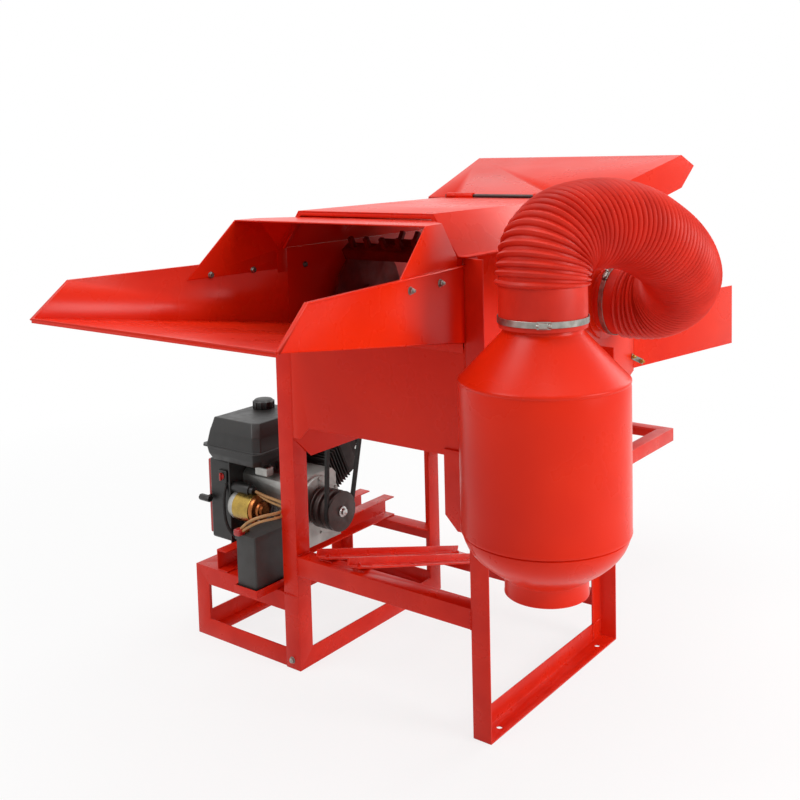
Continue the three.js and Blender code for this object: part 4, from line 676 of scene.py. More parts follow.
    @classmethod
    def join(cls, name: str, pieces: Sequence[Piece]) -> Piece:
        """Joins pieces of one finish into one.

        Args:
            name: the new piece's name.
            pieces: what is joined.

        Returns:
            The piece.
        """
        cls.take(pieces[0])
        for piece in pieces[1:]:
            piece.select_set(True)
        if len(pieces) > 1:
            bpy.ops.object.join()
        pieces[0].name = name
        return pieces[0]

    @classmethod
    def copies(cls, name: str, model: Piece, moves: Iterable[Matrix]) -> Piece:
        """Copies a model once for each move, joins the copies and removes the model.

        Args:
            name: the new piece's name.
            model: what is copied.
            moves: where each copy goes from the model's place.

        Returns:
            The piece.
        """
        made = []
        for move in moves:
            mesh = model.data.copy()
            mesh.transform(move)
            made.append(cls.link(name, mesh))
        bpy.data.objects.remove(model)
        return cls.join(name, made)

    @staticmethod
    def dress(
        piece: Piece, surface: Surface, body: Body = Body.MACHINE, replaces: Sequence[str] = (),
        slot: Optional[Slot] = None,
    ) -> None:
        """Gives a piece its finish and its body, and hides the solids that it stands for.

        Args:
            piece: the finished piece.
            surface: its finish.
            body: what it moves with.
            replaces: the solids that it stands for.
            slot: the record's material slot, where it isn't the finish's usual one. Not used.
        """
        piece.data.materials.clear()
        piece.data.materials.append(material_of(surface))
        for polygon in piece.data.polygons:
            polygon.material_index = 0
        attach(piece, body.value)
        if replaces:
            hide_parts(*replaces)
        LOG.info("%s: %d faces on %s", piece.name, len(piece.data.polygons), body.value)


def placed(at: Point, way: Union[Axis, Point], roll: float = 0.0) -> Matrix:
    """The move that stands a model of the origin on a place.

    Args:
        at: the place.
        way: where the model's +Z points: an axis or a direction.
        roll: turn about that direction, in degrees.

    Returns:
        The move.
    """
    turn = way.value if isinstance(way, Axis) else Vector(way).to_track_quat("Z", "Y").to_matrix().to_4x4()
    return Matrix.Translation(Shop.spot(*at)) @ turn @ Matrix.Rotation(math.radians(roll), 4, "Z")


# ---- kinds of pieces


@dataclass(frozen=True)
class Turning:
    """A turned part: its profile, the place that it starts from and the way that it points."""

    profile: Profile
    at: Point
    way: Union[Axis, Point] = Axis.Z
    sides: int = 24
    edge: float = 0.0

    def make(self, name: str) -> Piece:
        """Turns the part, and rounds its corners where it has an edge size."""
        part = Shop.turned(name, self.profile, self.sides, placed(self.at, self.way))
        return Shop.soften(part, self.edge, 2, 40) if self.edge > 0 else part


@dataclass(frozen=True)
class Block:
    """A block with rounded edges."""

    low: Point
    high: Point
    edge: float
    segments: int = 3

    def make(self, name: str) -> Piece:
        """Makes the part."""
        return Shop.block(name, self.low, self.high, self.edge, self.segments)


@dataclass(frozen=True)
class SquareCover:
    """A square cover with round corners about an axis along X, whose middle is given as Y and Z."""

    span: Span
    middle: Span
    half: float
    corner: float
    edge: float

    def make(self, name: str) -> Piece:
        """Makes the part."""
        (left, right), (y, z), half = self.span, self.middle, self.half
        return Shop.slab(name, (left, y - half, z - half), (right, y + half, z + half), self.corner, self.edge)


@dataclass(frozen=True)
class Rod:
    """A bent round rod, pipe or lead."""

    path: Sequence[Point]
    radius: float

    def make(self, name: str) -> Piece:
        """Makes the part."""
        return Shop.tube(name, self.path, self.radius)


@dataclass(frozen=True)
class Detail:
    """A piece of the machine that is joined from parts of one finish."""

    name: str
    surface: Surface
    parts: Sequence[Union[Turning, Block, SquareCover, Rod]]
    replaces: Sequence[str] = ()
    slot: Optional[Slot] = None

    def build(self) -> None:
        """Makes the piece."""
        piece = Shop.join(self.name, [part.make(self.name) for part in self.parts])
        Shop.dress(piece, self.surface, Body.MACHINE, self.replaces, self.slot)


@dataclass(frozen=True)
class Panel:
    """A solid of the frame and the dressed piece that stands for it, with the rounding of its edges."""

    node: str
    name: str
    surface: Surface
    edge: float
    body: Body = Body.MACHINE
    segments: int = 2
    slot: Optional[Slot] = None

    def build(self) -> None:
        """Makes the piece."""
        piece = Shop.from_solid(self.node, self.name, self.edge, self.segments)
        Shop.dress(piece, self.surface, self.body, [self.node], self.slot)


@dataclass(frozen=True)
class Fastener:
    """A hexagon bolt or nut with its washer, which stands on the origin along +Z.

    Its size over the flats, divided by corner and by chamfer, is the radius of its corners and of its bevelled top.
    """

    flats: float = 13.0
    head: float = 5.5
    washer: float = 8.5
    washer_wall: float = 1.4
    thread: float = 4.0
    stub: float = 0.0
    pitch: float = 0.8
    groove: float = 0.45
    corner: float = 1.732
    chamfer: float = 2.05
    roll: float = 17.0

    def model(self) -> Piece:
        """Models one fastener.

        Returns:
            The model.
        """
        radius, wall, top = self.flats / self.corner, self.washer_wall, self.head + self.stub
        lift = Matrix.Translation((0, 0, wall * MM))
        hexagon = [
            (0, 0), (radius, 0), (radius, self.head - 1.0), (self.flats / self.chamfer, self.head), (0, self.head),
        ]
        washer = [(0, 0), (self.washer, 0), (self.washer, wall - 0.3), (self.washer - 0.3, wall), (0, wall)]
        parts = [Shop.turned("hexagon", hexagon, 6, lift), Shop.turned("washer", washer, 24)]
        if self.stub > 0:
            turns = max(2, int(self.stub / self.pitch))
            thread = [(0.0, self.head - 1.0), (self.thread, self.head - 1.0)]
            for i in range(turns):
                z = self.head + self.stub * i / turns
                thread += [(self.thread, z), (self.thread - self.groove, z + self.stub / turns / 2)]
            thread += [(self.thread - 0.6, top), (0.0, top)]
            parts.append(Shop.turned("thread", thread, 16, lift))
        return Shop.join("fastener", parts)

    def set_in(
        self, name: str, places: Sequence[tuple[Point, Point]], surface: Surface, slot: Optional[Slot] = None,
    ) -> None:
        """Puts a fastener at each place, each turned a little further about its own axis.

        Args:
            name: the piece's name.
            places: each place, with the direction that the fastener points in.
            surface: their finish.
            slot: the record's material slot, where it isn't the finish's usual one.
        """
        moves = [placed(at, way, self.roll * i) for i, (at, way) in enumerate(places)]
        Shop.dress(Shop.copies(name, self.model(), moves), surface, slot=slot)


def iron(node: str, name: str, edge: float = 1.4) -> Panel:
    """A piece of welded angle iron or channel."""
    return Panel(node, name, Surface.ENAMEL_IRON, edge, segments=3)


def sheet_metal(node: str, name: str, edge: float = 1.1, body: Body = Body.MACHINE) -> Panel:
    """A piece of folded sheet."""
    return Panel(node, name, Surface.ENAMEL, edge, body, segments=3)


# ---- sub-assemblies


@dataclass
class IronFrame:
    """The welded angle-iron stand with its bolts."""

    length: float = 544.0
    depth: float = 634.0
    leg: float = 50.0
    wall: float = 4.0
    irons: Sequence[Panel] = (
        iron("left_end_frame", "left_leg_frame"), iron("right_end_frame", "right_leg_frame"),
        iron("front_cross_rail", "front_rail"), iron("rear_cross_rail", "rear_rail"),
        iron("motor_rail_left", "slotted_rail_left", 1.1), iron("motor_rail_right", "slotted_rail_right", 1.1),
        iron("rear_outrigger", "chute_outrigger"), iron("engine_subframe", "engine_frame"),
        iron("engine_bearer_outer", "engine_bearer_out"), iron("engine_bearer_inner", "engine_bearer_in"),
        iron("battery_tray", "battery_shelf", 0.8), iron("cyclone_bracket", "cyclone_arms", 1.2),
    )
    drop: Profile = ((0, -1.9), (2.2, -1.5), (3.0, 0), (2.2, 1.5), (0, 1.9))
    drop_pitch: float = 3.2
    drop_lean: Point = (1.0, 1.0, 0.4)
    sunk: float = 0.3
    front_rail: Span = (262.0, 308.0)
    front_rail_top: float = 310.0
    front_rail_flange: Span = (3.0, 47.0)
    rear_rail: Span = (84.0, 128.0)
    outrigger: Span = (432.0, 468.0)
    outrigger_gap: float = 0.4
    engine_rail: Span = (-49.0, -6.0)
    engine_rail_z: float = 202.0
    rail_bolt: Fastener = Fastener(flats=13.0, head=6.5, washer=9.5, washer_wall=1.6, thread=4.0, stub=5.0)
    rail_bolt_x: Span = (84.0, 188.0)
    rail_bolt_yz: Sequence[Span] = ((27.0, 314.8), (606.0, 134.8))
    rail_slope: Point = (0.0, 0.3, 0.954)
    frame_bolt: Fastener = Fastener(flats=13.0, head=5.5, washer=9.0, washer_wall=1.4, thread=3.8, stub=2.0)
    frame_bolts: Sequence[tuple[Point, Point]] = (
        ((-400.2, 26, 178), (-1, 0, 0)), ((-400.2, 608, 178), (-1, 0, 0)), ((-28, -0.2, 24), (0, -1, 0)),
    )

    def seams(self) -> list[tuple[Point, Point]]:
        """The straight seams where the irons meet.

        Returns:
            The start and end of each.
        """
        made: list[tuple[Point, Point]] = []
        leg, wall, sunk = self.leg, self.wall, self.sunk
        for x, side in ((0.0, -1), (self.length, 1)):
            inner = x - side * sunk
            for y, way in ((0.0, 1), (self.depth, -1)):
                corner, inside, outside = x + side * wall, y + way * wall, y + way * leg
                made.append(((corner, inside, leg), (corner, outside, leg)))
                made.append(((corner, outside, wall), (corner, outside, leg)))
            for y, (low, high) in (
                (sunk, self.front_rail), (self.depth - sunk, self.rear_rail),
                (self.depth + self.outrigger_gap, self.outrigger),
            ):
                made.append(((inner, y, low), (inner, y, high)))
            near, far = self.front_rail_flange
            made.append(((inner, near, self.front_rail_top), (inner, far, self.front_rail_top)))
        left, right = self.engine_rail
        for y in (sunk, self.depth - sunk):
            made.append(((left, y, self.engine_rail_z), (right, y, self.engine_rail_z)))
        return made

    def welds(self) -> None:
        """Lays weld beads on the seams, each a row of overlapping lens-shaped drops that lean and swell in turn."""
        moves = []
        for start, stop in self.seams():
            a, b = Vector(start), Vector(stop)
            count = max(2, round((b - a).length / self.drop_pitch))
            for i in range(count + 1):
                turn = Matrix.Rotation(i * 1.9, 4, self.drop_lean)
                swell = Matrix.Scale(1 + 0.12 * math.sin(i * 2.3), 4)
                moves.append(Matrix.Translation(Shop.spot(*a.lerp(b, i / count))) @ turn @ swell)
        beads = Shop.copies("weld_beads", Shop.turned("drop", self.drop, 10), moves)
        Shop.dress(beads, Surface.ENAMEL_IRON)

    def build(self) -> None:
        """Makes the stand."""
        for part in self.irons:
            part.build()
        self.welds()
        rails = [((x, y, z), self.rail_slope) for x in self.rail_bolt_x for y, z in self.rail_bolt_yz]
        self.rail_bolt.set_in("rail_bolt", rails, Surface.ENAMEL_IRON)
        self.frame_bolt.set_in("frame_bolt", self.frame_bolts, Surface.GALVANISED)


@dataclass
class SheetBody:
    """The threshing body, tray, hood, cover, deflector and chute, all of folded and painted sheet."""

    panels: Sequence[Panel] = (
        sheet_metal("left_side_plate", "side_sheet_left"), sheet_metal("right_side_plate", "side_sheet_right"),
        sheet_metal("front_panel", "front_sheet"), sheet_metal("grain_pan", "grain_pan_sheet", 0.8),
        sheet_metal("feed_tray", "feed_tray_sheet"), sheet_metal("feed_hood", "feed_hood_sheet"),
        sheet_metal("drum_cover", "drum_cover_sheet", body=Body.COVER),
        sheet_metal("rear_deflector", "straw_deflector_sheet"), sheet_metal("rear_chute", "straw_chute_sheet"),
        sheet_metal("fan_duct", "fan_outlet_stub"),
    )

    def build(self) -> None:
        """Makes the sheets."""
        for part in self.panels:
            part.build()


@dataclass
class SheetFittings:
    """The lips that close the seams of hood and cover, the chute's straps, and the bolts of the sheets."""

    length: float = 544.0
    flare: float = 82 / 680
    nut: Fastener = Fastener(flats=12.0, head=6.0, washer=9.0, washer_wall=1.4, thread=3.6, stub=5.0)
    low_head: Fastener = Fastener(flats=12.0, head=4.5, washer=8.0, washer_wall=1.2)
    bolt_rows: Sequence[float] = (-235.0, -110.0)
    bolt_z: float = 1075.0
    nut_gap: float = 0.1
    head_inset: float = 6.4
    inner_bolt: Point = (3.2, 65.0, 1071.0)
    flange: Profile = ((4.35, 1060.0), (3.15, 1117.7), (70.65, 1197.4))
    flange_y: float = -36.0
    flange_depth: float = 35.0
    sheet: float = 1.2
    lip: Profile = ((9.2, 1120.9), (70.6, 1208.1))
    lip_y: float = -19.6
    lip_height: float = 8.6
    tray_lip: Detail = Detail(
        "front_sheet_lip", Surface.ENAMEL, (Block((4.6, -2.4, 903), (length - 4.6, -0.4, 925.6), 0.5, 2),),
    )
    strap: Sequence[Point] = ((1.0, 842, 742), (1.0, 862, 733), (8.2, 900, 716))
    strap_width: Point = (0.0, 4.0, 15.0)
    strap_wall: float = 1.6
    strap_bolt: Fastener = Fastener(flats=10.0, head=5.0, washer=7.0, washer_wall=1.0, thread=3.0, stub=5.0)
    strap_bolts: Sequence[tuple[Point, Point]] = (((2.0, 851, 747), (1, 0, 0)), ((8.4, 892, 727), (1, -0.19, 0)))

    def across(self, half: Profile, y: float) -> list[Point]:
        """Mirrors the left half of a section.

        Args:
            half: (x, z) from the lowest point on the left up to the middle.
            y: where the section lies.

        Returns:
            The whole section, from left to right.
        """
        left = [(x, y, z) for x, z in half]
        return [*left, *((self.length - x, y, z) for x, _, z in reversed(left))]

    def beside(self, side: int, proud: float) -> float:
        """The X that lies this far outside the left (-1) or right (1) side of the body."""
        return (self.length if side > 0 else 0.0) + side * proud

    def wall_bolts(self) -> None:
        """Bolts through the flared walls of the tray into the hood, nuts outside and low heads inside."""
        tilt = math.atan(self.flare)
        level, back = math.cos(tilt), math.sin(tilt)
        nuts, heads = [], []
        for y in self.bolt_rows:
            for side in (-1, 1):
                x = self.beside(side, self.flare * -y + self.nut_gap)
                nuts.append(((x, y, self.bolt_z), (side * level, back, 0)))
                x = self.beside(side, self.flare * -y - self.head_inset)
                heads.append(((x, y, self.bolt_z), (-side * level, -back, 0)))
        inset, y, z = self.inner_bolt
        inner = [((self.beside(side, -inset), y, z), (-side, 0, 0)) for side in (-1, 1)]
        self.nut.set_in("hood_nut", nuts, Surface.GALVANISED)
        self.low_head.set_in("hood_bolt_head", heads, Surface.GALVANISED)
        self.low_head.set_in("inner_bolt_head", inner, Surface.WORN_STEEL, Slot.BRIGHT_STEEL)

    def lips(self) -> None:
        """The hood's rear flange, the lip on the cover's front edge and the strip that closes the tray's seam."""
        path = self.across(self.flange, self.flange_y)
        Shop.dress(Shop.folded("hood_rear_flange", path, (0, self.flange_depth, 0), self.sheet), Surface.ENAMEL)
        path = self.across(self.lip, self.lip_y)
        lip = Shop.folded("cover_front_lip", path, (0, self.sheet, 0), self.lip_height)
        Shop.dress(lip, Surface.ENAMEL, Body.COVER)
        self.tray_lip.build()

    def straps(self) -> None:
        """The straps that tie the straw chute to the body, with their bolts."""
        for side in (-1, 1):
            path = [(self.beside(side, proud), y, z) for proud, y, z in self.strap]
            strap = Shop.folded("chute_strap", path, self.strap_width, self.strap_wall)
            Shop.dress(strap, Surface.GALVANISED)
            places = [
                ((self.beside(side, proud), y, z), (side * out, back, up))
                for (proud, y, z), (out, back, up) in self.strap_bolts
            ]
            self.strap_bolt.set_in("chute_strap_bolt", places, Surface.YELLOW_ZINC)

    def build(self) -> None:
        """Makes the fittings."""
        self.wall_bolts()
        self.lips()
        self.straps()


@dataclass
class ThreshingGear:
    """The drum, its bearings, the slatted concave and the fan."""

    parts: Sequence[Panel] = (
        # The drum and the concave take the darkened enamel, whose dark tones are painted shade of the inside of the
        # body.
        Panel("threshing_drum", "peg_drum", Surface.ENAMEL_DUSTY, 0.8, Body.DRUM),
        Panel("concave", "slatted_concave", Surface.ENAMEL_DUSTY, 0.6),
        Panel("drum_bearing_left", "bearing_block_left", Surface.CAST_IRON, 1.2),
        Panel("drum_bearing_right", "bearing_block_right", Surface.CAST_IRON, 1.2),
        Panel("fan_bearing", "fan_bearing_block", Surface.CAST_IRON, 1.2),
        Panel("fan_impeller", "fan_blades", Surface.WORN_STEEL, 0.5, Body.FAN),
        Panel("fan_bush", "fan_bronze_bush", Surface.COPPER, 0.4),
        Panel("drum_shaft", "drum_axle", Surface.GROUND_STEEL, 0.5, Body.DRUM),
        Panel("fan_shaft", "fan_axle", Surface.GROUND_STEEL, 0.5, Body.FAN),
        # The hinge rod, bright steel in the record, takes the dark cast-iron finish as painted shade of the gap
        # between cover and deflector.
        Panel("cover_hinge_rod", "hinge_rod", Surface.CAST_IRON, 0.4, slot=Slot.BRIGHT_STEEL),
    )
    bolt: Fastener = Fastener(flats=13.0, head=6.0, washer=8.4, washer_wall=1.4, thread=3.8, stub=3.0)
    flanges: Sequence[tuple[Point, int, float]] = (
        ((-8.2, 292, 962), -1, 43.0), ((552.2, 292, 962), 1, 43.0), ((-8.2, 680, 935), -1, 31.0),
    )

    def build(self) -> None:
        """Makes the gear, and the four bolts round each bearing."""
        for part in self.parts:
            part.build()
        places = []
        for (x, y, z), side, reach in self.flanges:
            for along, up in ((reach, 0), (-reach, 0), (0, reach), (0, -reach)):
                places.append(((x, y + along, z + up), (side, 0, 0)))
        self.bolt.set_in("bearing_bolt", places, Surface.GALVANISED)


@dataclass
class Engine:
    """The petrol engine with its covers, tank, electric starter, battery, pulleys and belts."""

    parts: Sequence[Panel] = (
        Panel("crankcase", "engine_case", Surface.DIE_CAST, 2.2, segments=3),
        Panel("crankshaft", "crank_axle", Surface.GROUND_STEEL, 0.5, Body.CRANK),
        Panel("engine_pulley", "crank_pulley", Surface.CAST_IRON, 0.5, Body.CRANK, slot=Slot.CAST_BROWN),
        Panel("drum_pulley", "drum_drive_pulley", Surface.CAST_IRON, 0.5, Body.DRUM, slot=Slot.CAST_BROWN),
        Panel("fan_pulley", "fan_drive_pulley", Surface.CAST_IRON, 0.5, Body.FAN, slot=Slot.CAST_BROWN),
        Panel("pulley_bolt", "crank_bolt", Surface.GROUND_STEEL, 0.5, Body.CRANK),
        Panel("drum_belt", "drum_v_belt", Surface.BELT, 0.6),
        Panel("fan_belt", "fan_v_belt", Surface.BELT, 0.6),
        Panel("cylinder", "finned_cylinder", Surface.HEAT_BLACK, 0.7),
        Panel("head_cover", "valve_cover", Surface.HEAT_BLACK, 2.0, segments=3),
        Panel("engine_switch", "engine_key_switch", Surface.MOULDED_RED, 0.8, Body.SWITCH),
        Panel("fuel_cap", "petrol_cap", Surface.MOULDED_BLACK, 0.8, Body.CAP),
        Panel("muffler", "exhaust_box", Surface.HEAT_BLACK, 2.0, segments=3),
        Panel("carburettor", "carburettor_body", Surface.DIE_CAST, 1.2),
        Panel("air_cleaner", "air_filter_box", Surface.MOULDED_BLACK, 3.0, segments=3),
        Panel("starter_solenoid", "solenoid_can", Surface.MOULDED_BLACK, 1.0),
        Panel("battery", "battery_case", Surface.BATTERY_CASE, 1.6, segments=3),
        Panel("throttle_lever", "throttle_arm", Surface.GROUND_STEEL, 0.5, Body.THROTTLE),
        Panel("choke_lever", "choke_arm", Surface.MOULDED_BLACK, 0.6, Body.CHOKE),
    )
    crank: Span = (205.0, 368.6)
    shroud: Detail = Detail("blower_shroud", Surface.MOULDED_BLACK, (
        SquareCover((-420.0, -330.6), crank, half=118.0, corner=42.0, edge=7.0),
        Block((-336, 80.5, 244.5), (-330.5, 329.5, 492.5), 2.0),  # rim against the crankcase
        Block((-378, 80, 424), (-344, 122, 459), 2.5),  # box of the switch
        Block((-386, 290, 392), (-331, 408, 500), 8.0, 4),  # arm that leads the air to the cylinder
    ), ("blower_housing",))
    recoil_rim: SquareCover = SquareCover((-436.0, -420.3), crank, half=110.0, corner=40.0, edge=5.0)
    recoil_shift: Point = (-4.4, 0.0, 0.0)
    grip_middle: Point = (-426.0, 85.0, 368.5)
    grip_scale: Point = (0.6, 0.8, 1.0)
    grip_shift: Point = (-6.0, -6.0, 0.0)
    tank_end: float = -400.0
    tank_cut: float = 19.0
    tank_edge: float = 6.0
    collar: Turning = Turning(
        ((25, 0), (29, 0), (29, 2.4), (28, 3.4), (25, 3.4), (25, 0)), (-345, 240, 608.6), sides=48,
    )
    starter: Point = (-330.0, 100.0, 363.0)
    starter_edge: float = 0.8
    starter_bolt: Fastener = Fastener(flats=8.0, head=4.0, washer=5.6, washer_wall=0.9, thread=2.6, stub=2.0)
    starter_bolts: Sequence[Point] = ((102.4, 12.0, 28.0), (102.4, -12.0, -28.0))
    can: Profile = ((0, 26), (41, 26), (42, 27), (42, 88), (41, 89), (0, 89))
    nose: Profile = ((0, 0), (30, 0), (36, 4), (40, 12), (40, 27), (0, 27))
    end_cap: Profile = (
        (0, 88), (39.5, 88), (39.5, 98), (37, 102), (24, 103), (22, 110), (16, 112), (16, 118), (0, 118),
    )
    foot_bolt: Fastener = Fastener(flats=14.0, head=7.0, washer=10.0, washer_wall=1.8, thread=4.4, stub=4.0)
    foot_x: Span = (-292.0, -192.0)
    foot_y: Span = (124.0, 296.0)
    foot_z: float = 274.8
    screw: Fastener = Fastener(flats=8.0, head=0.8, washer=6.0, washer_wall=0.5)
    screw_x: float = -436.2
    screw_reach: float = 88.0

    def covers(self) -> None:
        """The fan shroud and the recoil starter's cover, square with round corners, and its grip."""
        self.shroud.build()
        dish = Shop.from_solid("recoil_cover", "dish", 1.2)
        dish.data.transform(Matrix.Translation(Vector(self.recoil_shift) * MM))
        cover = Shop.join("recoil_starter_cover", [self.recoil_rim.make("rim"), dish])
        Shop.dress(cover, Surface.MOULDED_RED, replaces=["recoil_cover"])
        grip = Shop.from_solid("recoil_handle", "starter_grip", 2.0, 3)
        middle = Shop.spot(*self.grip_middle)
        shrink = Matrix.Translation(middle) @ Matrix.Diagonal((*self.grip_scale, 1.0)) @ Matrix.Translation(-middle)
        grip.data.transform(Matrix.Translation(Vector(self.grip_shift) * MM) @ shrink)
        Shop.dress(grip, Surface.MOULDED_BLACK, Body.HANDLE, ["recoil_handle"])

    def tank(self) -> None:
        """The petrol tank with soft edges, its left end moved in, and its filler collar."""
        tank = Shop.from_solid("fuel_tank", "petrol_tank")
        limit = Shop.spot(self.tank_end, 0, 0).x
        for vertex in tank.data.vertices:
            if vertex.co.x < limit:
                vertex.co.x += self.tank_cut * MM
        Shop.soften(tank, self.tank_edge, 4, 12)
        tank = Shop.join("petrol_tank", [tank, self.collar.make("collar")])
        Shop.dress(tank, Surface.MOULDED_BLACK, replaces=["fuel_tank"])

    def electric_starter(self) -> None:
        """The starter motor: plated can, cast nose, and copper-coloured end cap with its two long bolts."""
        for name, profile, surface, replaces, slot in (
            ("starter_drum", self.can, Surface.YELLOW_ZINC, ("starter_motor",), Slot.ZINC_YELLOW),
            ("starter_nose", self.nose, Surface.DIE_CAST, (), None),
            ("starter_end", self.end_cap, Surface.COPPER, (), None),
        ):
            turning = Turning(profile, self.starter, Axis.X, 72, self.starter_edge)
            Detail(name, surface, (turning,), replaces, slot).build()
        places = [(tuple(Vector(self.starter) + Vector(offset)), (1, 0, 0)) for offset in self.starter_bolts]
        self.starter_bolt.set_in("starter_bolt", places, Surface.GALVANISED)

    def bolts(self) -> None:
        """Bolts of the crankcase feet and screws of the recoil cover."""
        feet = [((x, y, self.foot_z), (0, 0, 1)) for x in self.foot_x for y in self.foot_y]
        self.foot_bolt.set_in("engine_foot_bolt", feet, Surface.YELLOW_ZINC)
        reach = (-self.screw_reach, self.screw_reach)
        y, z = self.crank
        rim = [((self.screw_x, y + along, z + up), (-1, 0, 0)) for along in reach for up in reach]
        self.screw.set_in("recoil_screw", rim, Surface.GALVANISED)

    def build(self) -> None:
        """Makes the engine."""
        for part in self.parts:
            part.build()
        self.covers()
        self.tank()
        self.electric_starter()
        self.bolts()


@dataclass
class EngineFittings:
    """The leads, the spark plug and the small parts of fuel and oil. Each lead is held at both ends."""

    posts: Sequence[Point] = ((-138.0, -46.0, 371.6), (-138.0, 91.0, 371.6))
    clip: Profile = ((0, -6), (10, -6), (10, 0), (9, 1.4), (0, 1.4))
    clip_tail: tuple[Point, Point] = ((-7, -24, -5), (7, -5, 0))
    tan_lead: Sequence[Point] = (
        (-136, -66, 376), (-120, -66, 394), (-94, -56, 412), (-66, -36, 420), (-50, -2, 420), (-66, 40, 418),
        (-130, 84, 410), (-200, 98, 404), (-246, 100, 412),
    )
    second_ends: tuple[Point, Point] = ((-132, -66, 372), (-244, 104, 404))
    second_offset: Point = (6.0, -4.0, -10.0)
    black_leads: Detail = Detail("black_leads", Surface.BELT, (
        Rod((
            (-138, 80, 372), (-150, 84, 396), (-176, 96, 392), (-196, 108, 350), (-204, 116, 300), (-206, 118, 284),
        ), 3.6),  # from the battery to the engine frame
        Rod((
            (-330, 330, 470), (-306, 372, 500), (-250, 440, 520), (-196, 470, 512), (-170, 452, 486),
        ), 3.2),  # from the shroud to the spark plug
        Rod((
            (-352, 90, 424), (-352, 74, 400), (-344, 64, 330), (-330, 72, 280), (-296, 100, 250), (-262, 118, 232),
        ), 5.0),  # from the switch to the engine frame
    ))
    plug: Point = (-170.0, 436.0, 466.0)
    plug_way: Point = (0.1, 0.6, 0.8)
    plug_hexagon: Profile = ((0, 0), (11, 0), (11, 9), (9.6, 10), (0, 10))
    plug_ceramic: Profile = ((0, 9), (6, 9), (6, 20), (5, 21), (5, 30), (0, 30))
    plug_boot: Profile = (
        (0, 17), (8, 17), (8.6, 18), (8.6, 21), (7.6, 22), (7.6, 34), (8.2, 36), (7, 44), (4, 47), (0, 47),
    )
    others: Sequence[Detail] = (
        Detail("lead_boot", Surface.MOULDED_RED, (Block((-149, -82, 362), (-127, -56, 380), 5.0, 4),)),
        Detail("regulator", Surface.DIE_CAST, (Block((-252, 104, 459), (-204, 131, 484), 3.0),)),
        Detail("oil_filler", Surface.MOULDED_BLACK, (Turning(
            ((0, 0), (17, 0), (17, 5), (13, 6), (13, 12), (19, 13), (20, 15), (20, 24), (18, 26), (0, 26)),
            (-150, 131, 322), (0, -1, 0.25), 32,
        ),)),
        Detail("filter_wing_nut", Surface.GALVANISED, (
            Turning(((0, 0), (7, 0), (7, 6), (5, 8), (5, 13), (0, 14)), (-324, 377, 614.4)),
            Block((-343, 375.6, 618), (-305, 378.4, 632), 1.2),
        )),
        Detail("fuel_tap", Surface.GROUND_STEEL, (
            Turning(((0, 0), (6, 0), (6, 16), (4, 17), (0, 17)), (-274, 330, 442), sides=20),
            Rod(((-292, 314, 464), (-286, 340, 470), (-280, 354, 474)), 1.2),
        )),
        Detail("fuel_pipe", Surface.BELT, (
            Rod(((-274, 330, 444), (-274, 332, 432), (-274, 344, 430), (-274, 356, 440)), 3.4),
        )),
    )

    def battery_leads(self) -> None:
        """The battery's clips and the two pale leads to the starter, the second one beside and below the first."""
        clips = []
        for post in self.posts:
            low, high = (tuple(Vector(post) + Vector(corner)) for corner in self.clip_tail)
            clips += [Turning(self.clip, post, sides=32), Block(low, high, 1.2, 2)]
        Detail("battery_clips", Surface.COPPER, clips).build()
        dx, dy, dz = self.second_offset
        start, end = self.second_ends
        second = (start, *((x + dx, y + dy, z + dz) for x, y, z in self.tan_lead[1:-1]), end)
        Detail("starter_leads", Surface.LEAD_TAN, (Rod(self.tan_lead, 4.2), Rod(second, 3.4))).build()

    def spark_plug(self) -> None:
        """The spark plug: hexagon, ceramic and rubber boot on one axis."""
        for name, surface, profile, sides in (
            ("plug_hexagon", Surface.GROUND_STEEL, self.plug_hexagon, 6),
            ("plug_ceramic", Surface.CERAMIC, self.plug_ceramic, 24),
            ("plug_boot", Surface.MOULDED_BLACK, self.plug_boot, 32),
        ):
            Detail(name, surface, (Turning(profile, self.plug, self.plug_way, sides),)).build()

    def build(self) -> None:
        """Makes the fittings."""
        self.battery_leads()
        self.black_leads.build()
        self.spark_plug()
        for detail in self.others:
            detail.build()


def around(profile: Profile, radius: float, height: float) -> list[tuple[float, float]]:
    """Moves a small profile, such as a bead, to its radius and height."""
    return [(radius + out, height + up) for out, up in profile]


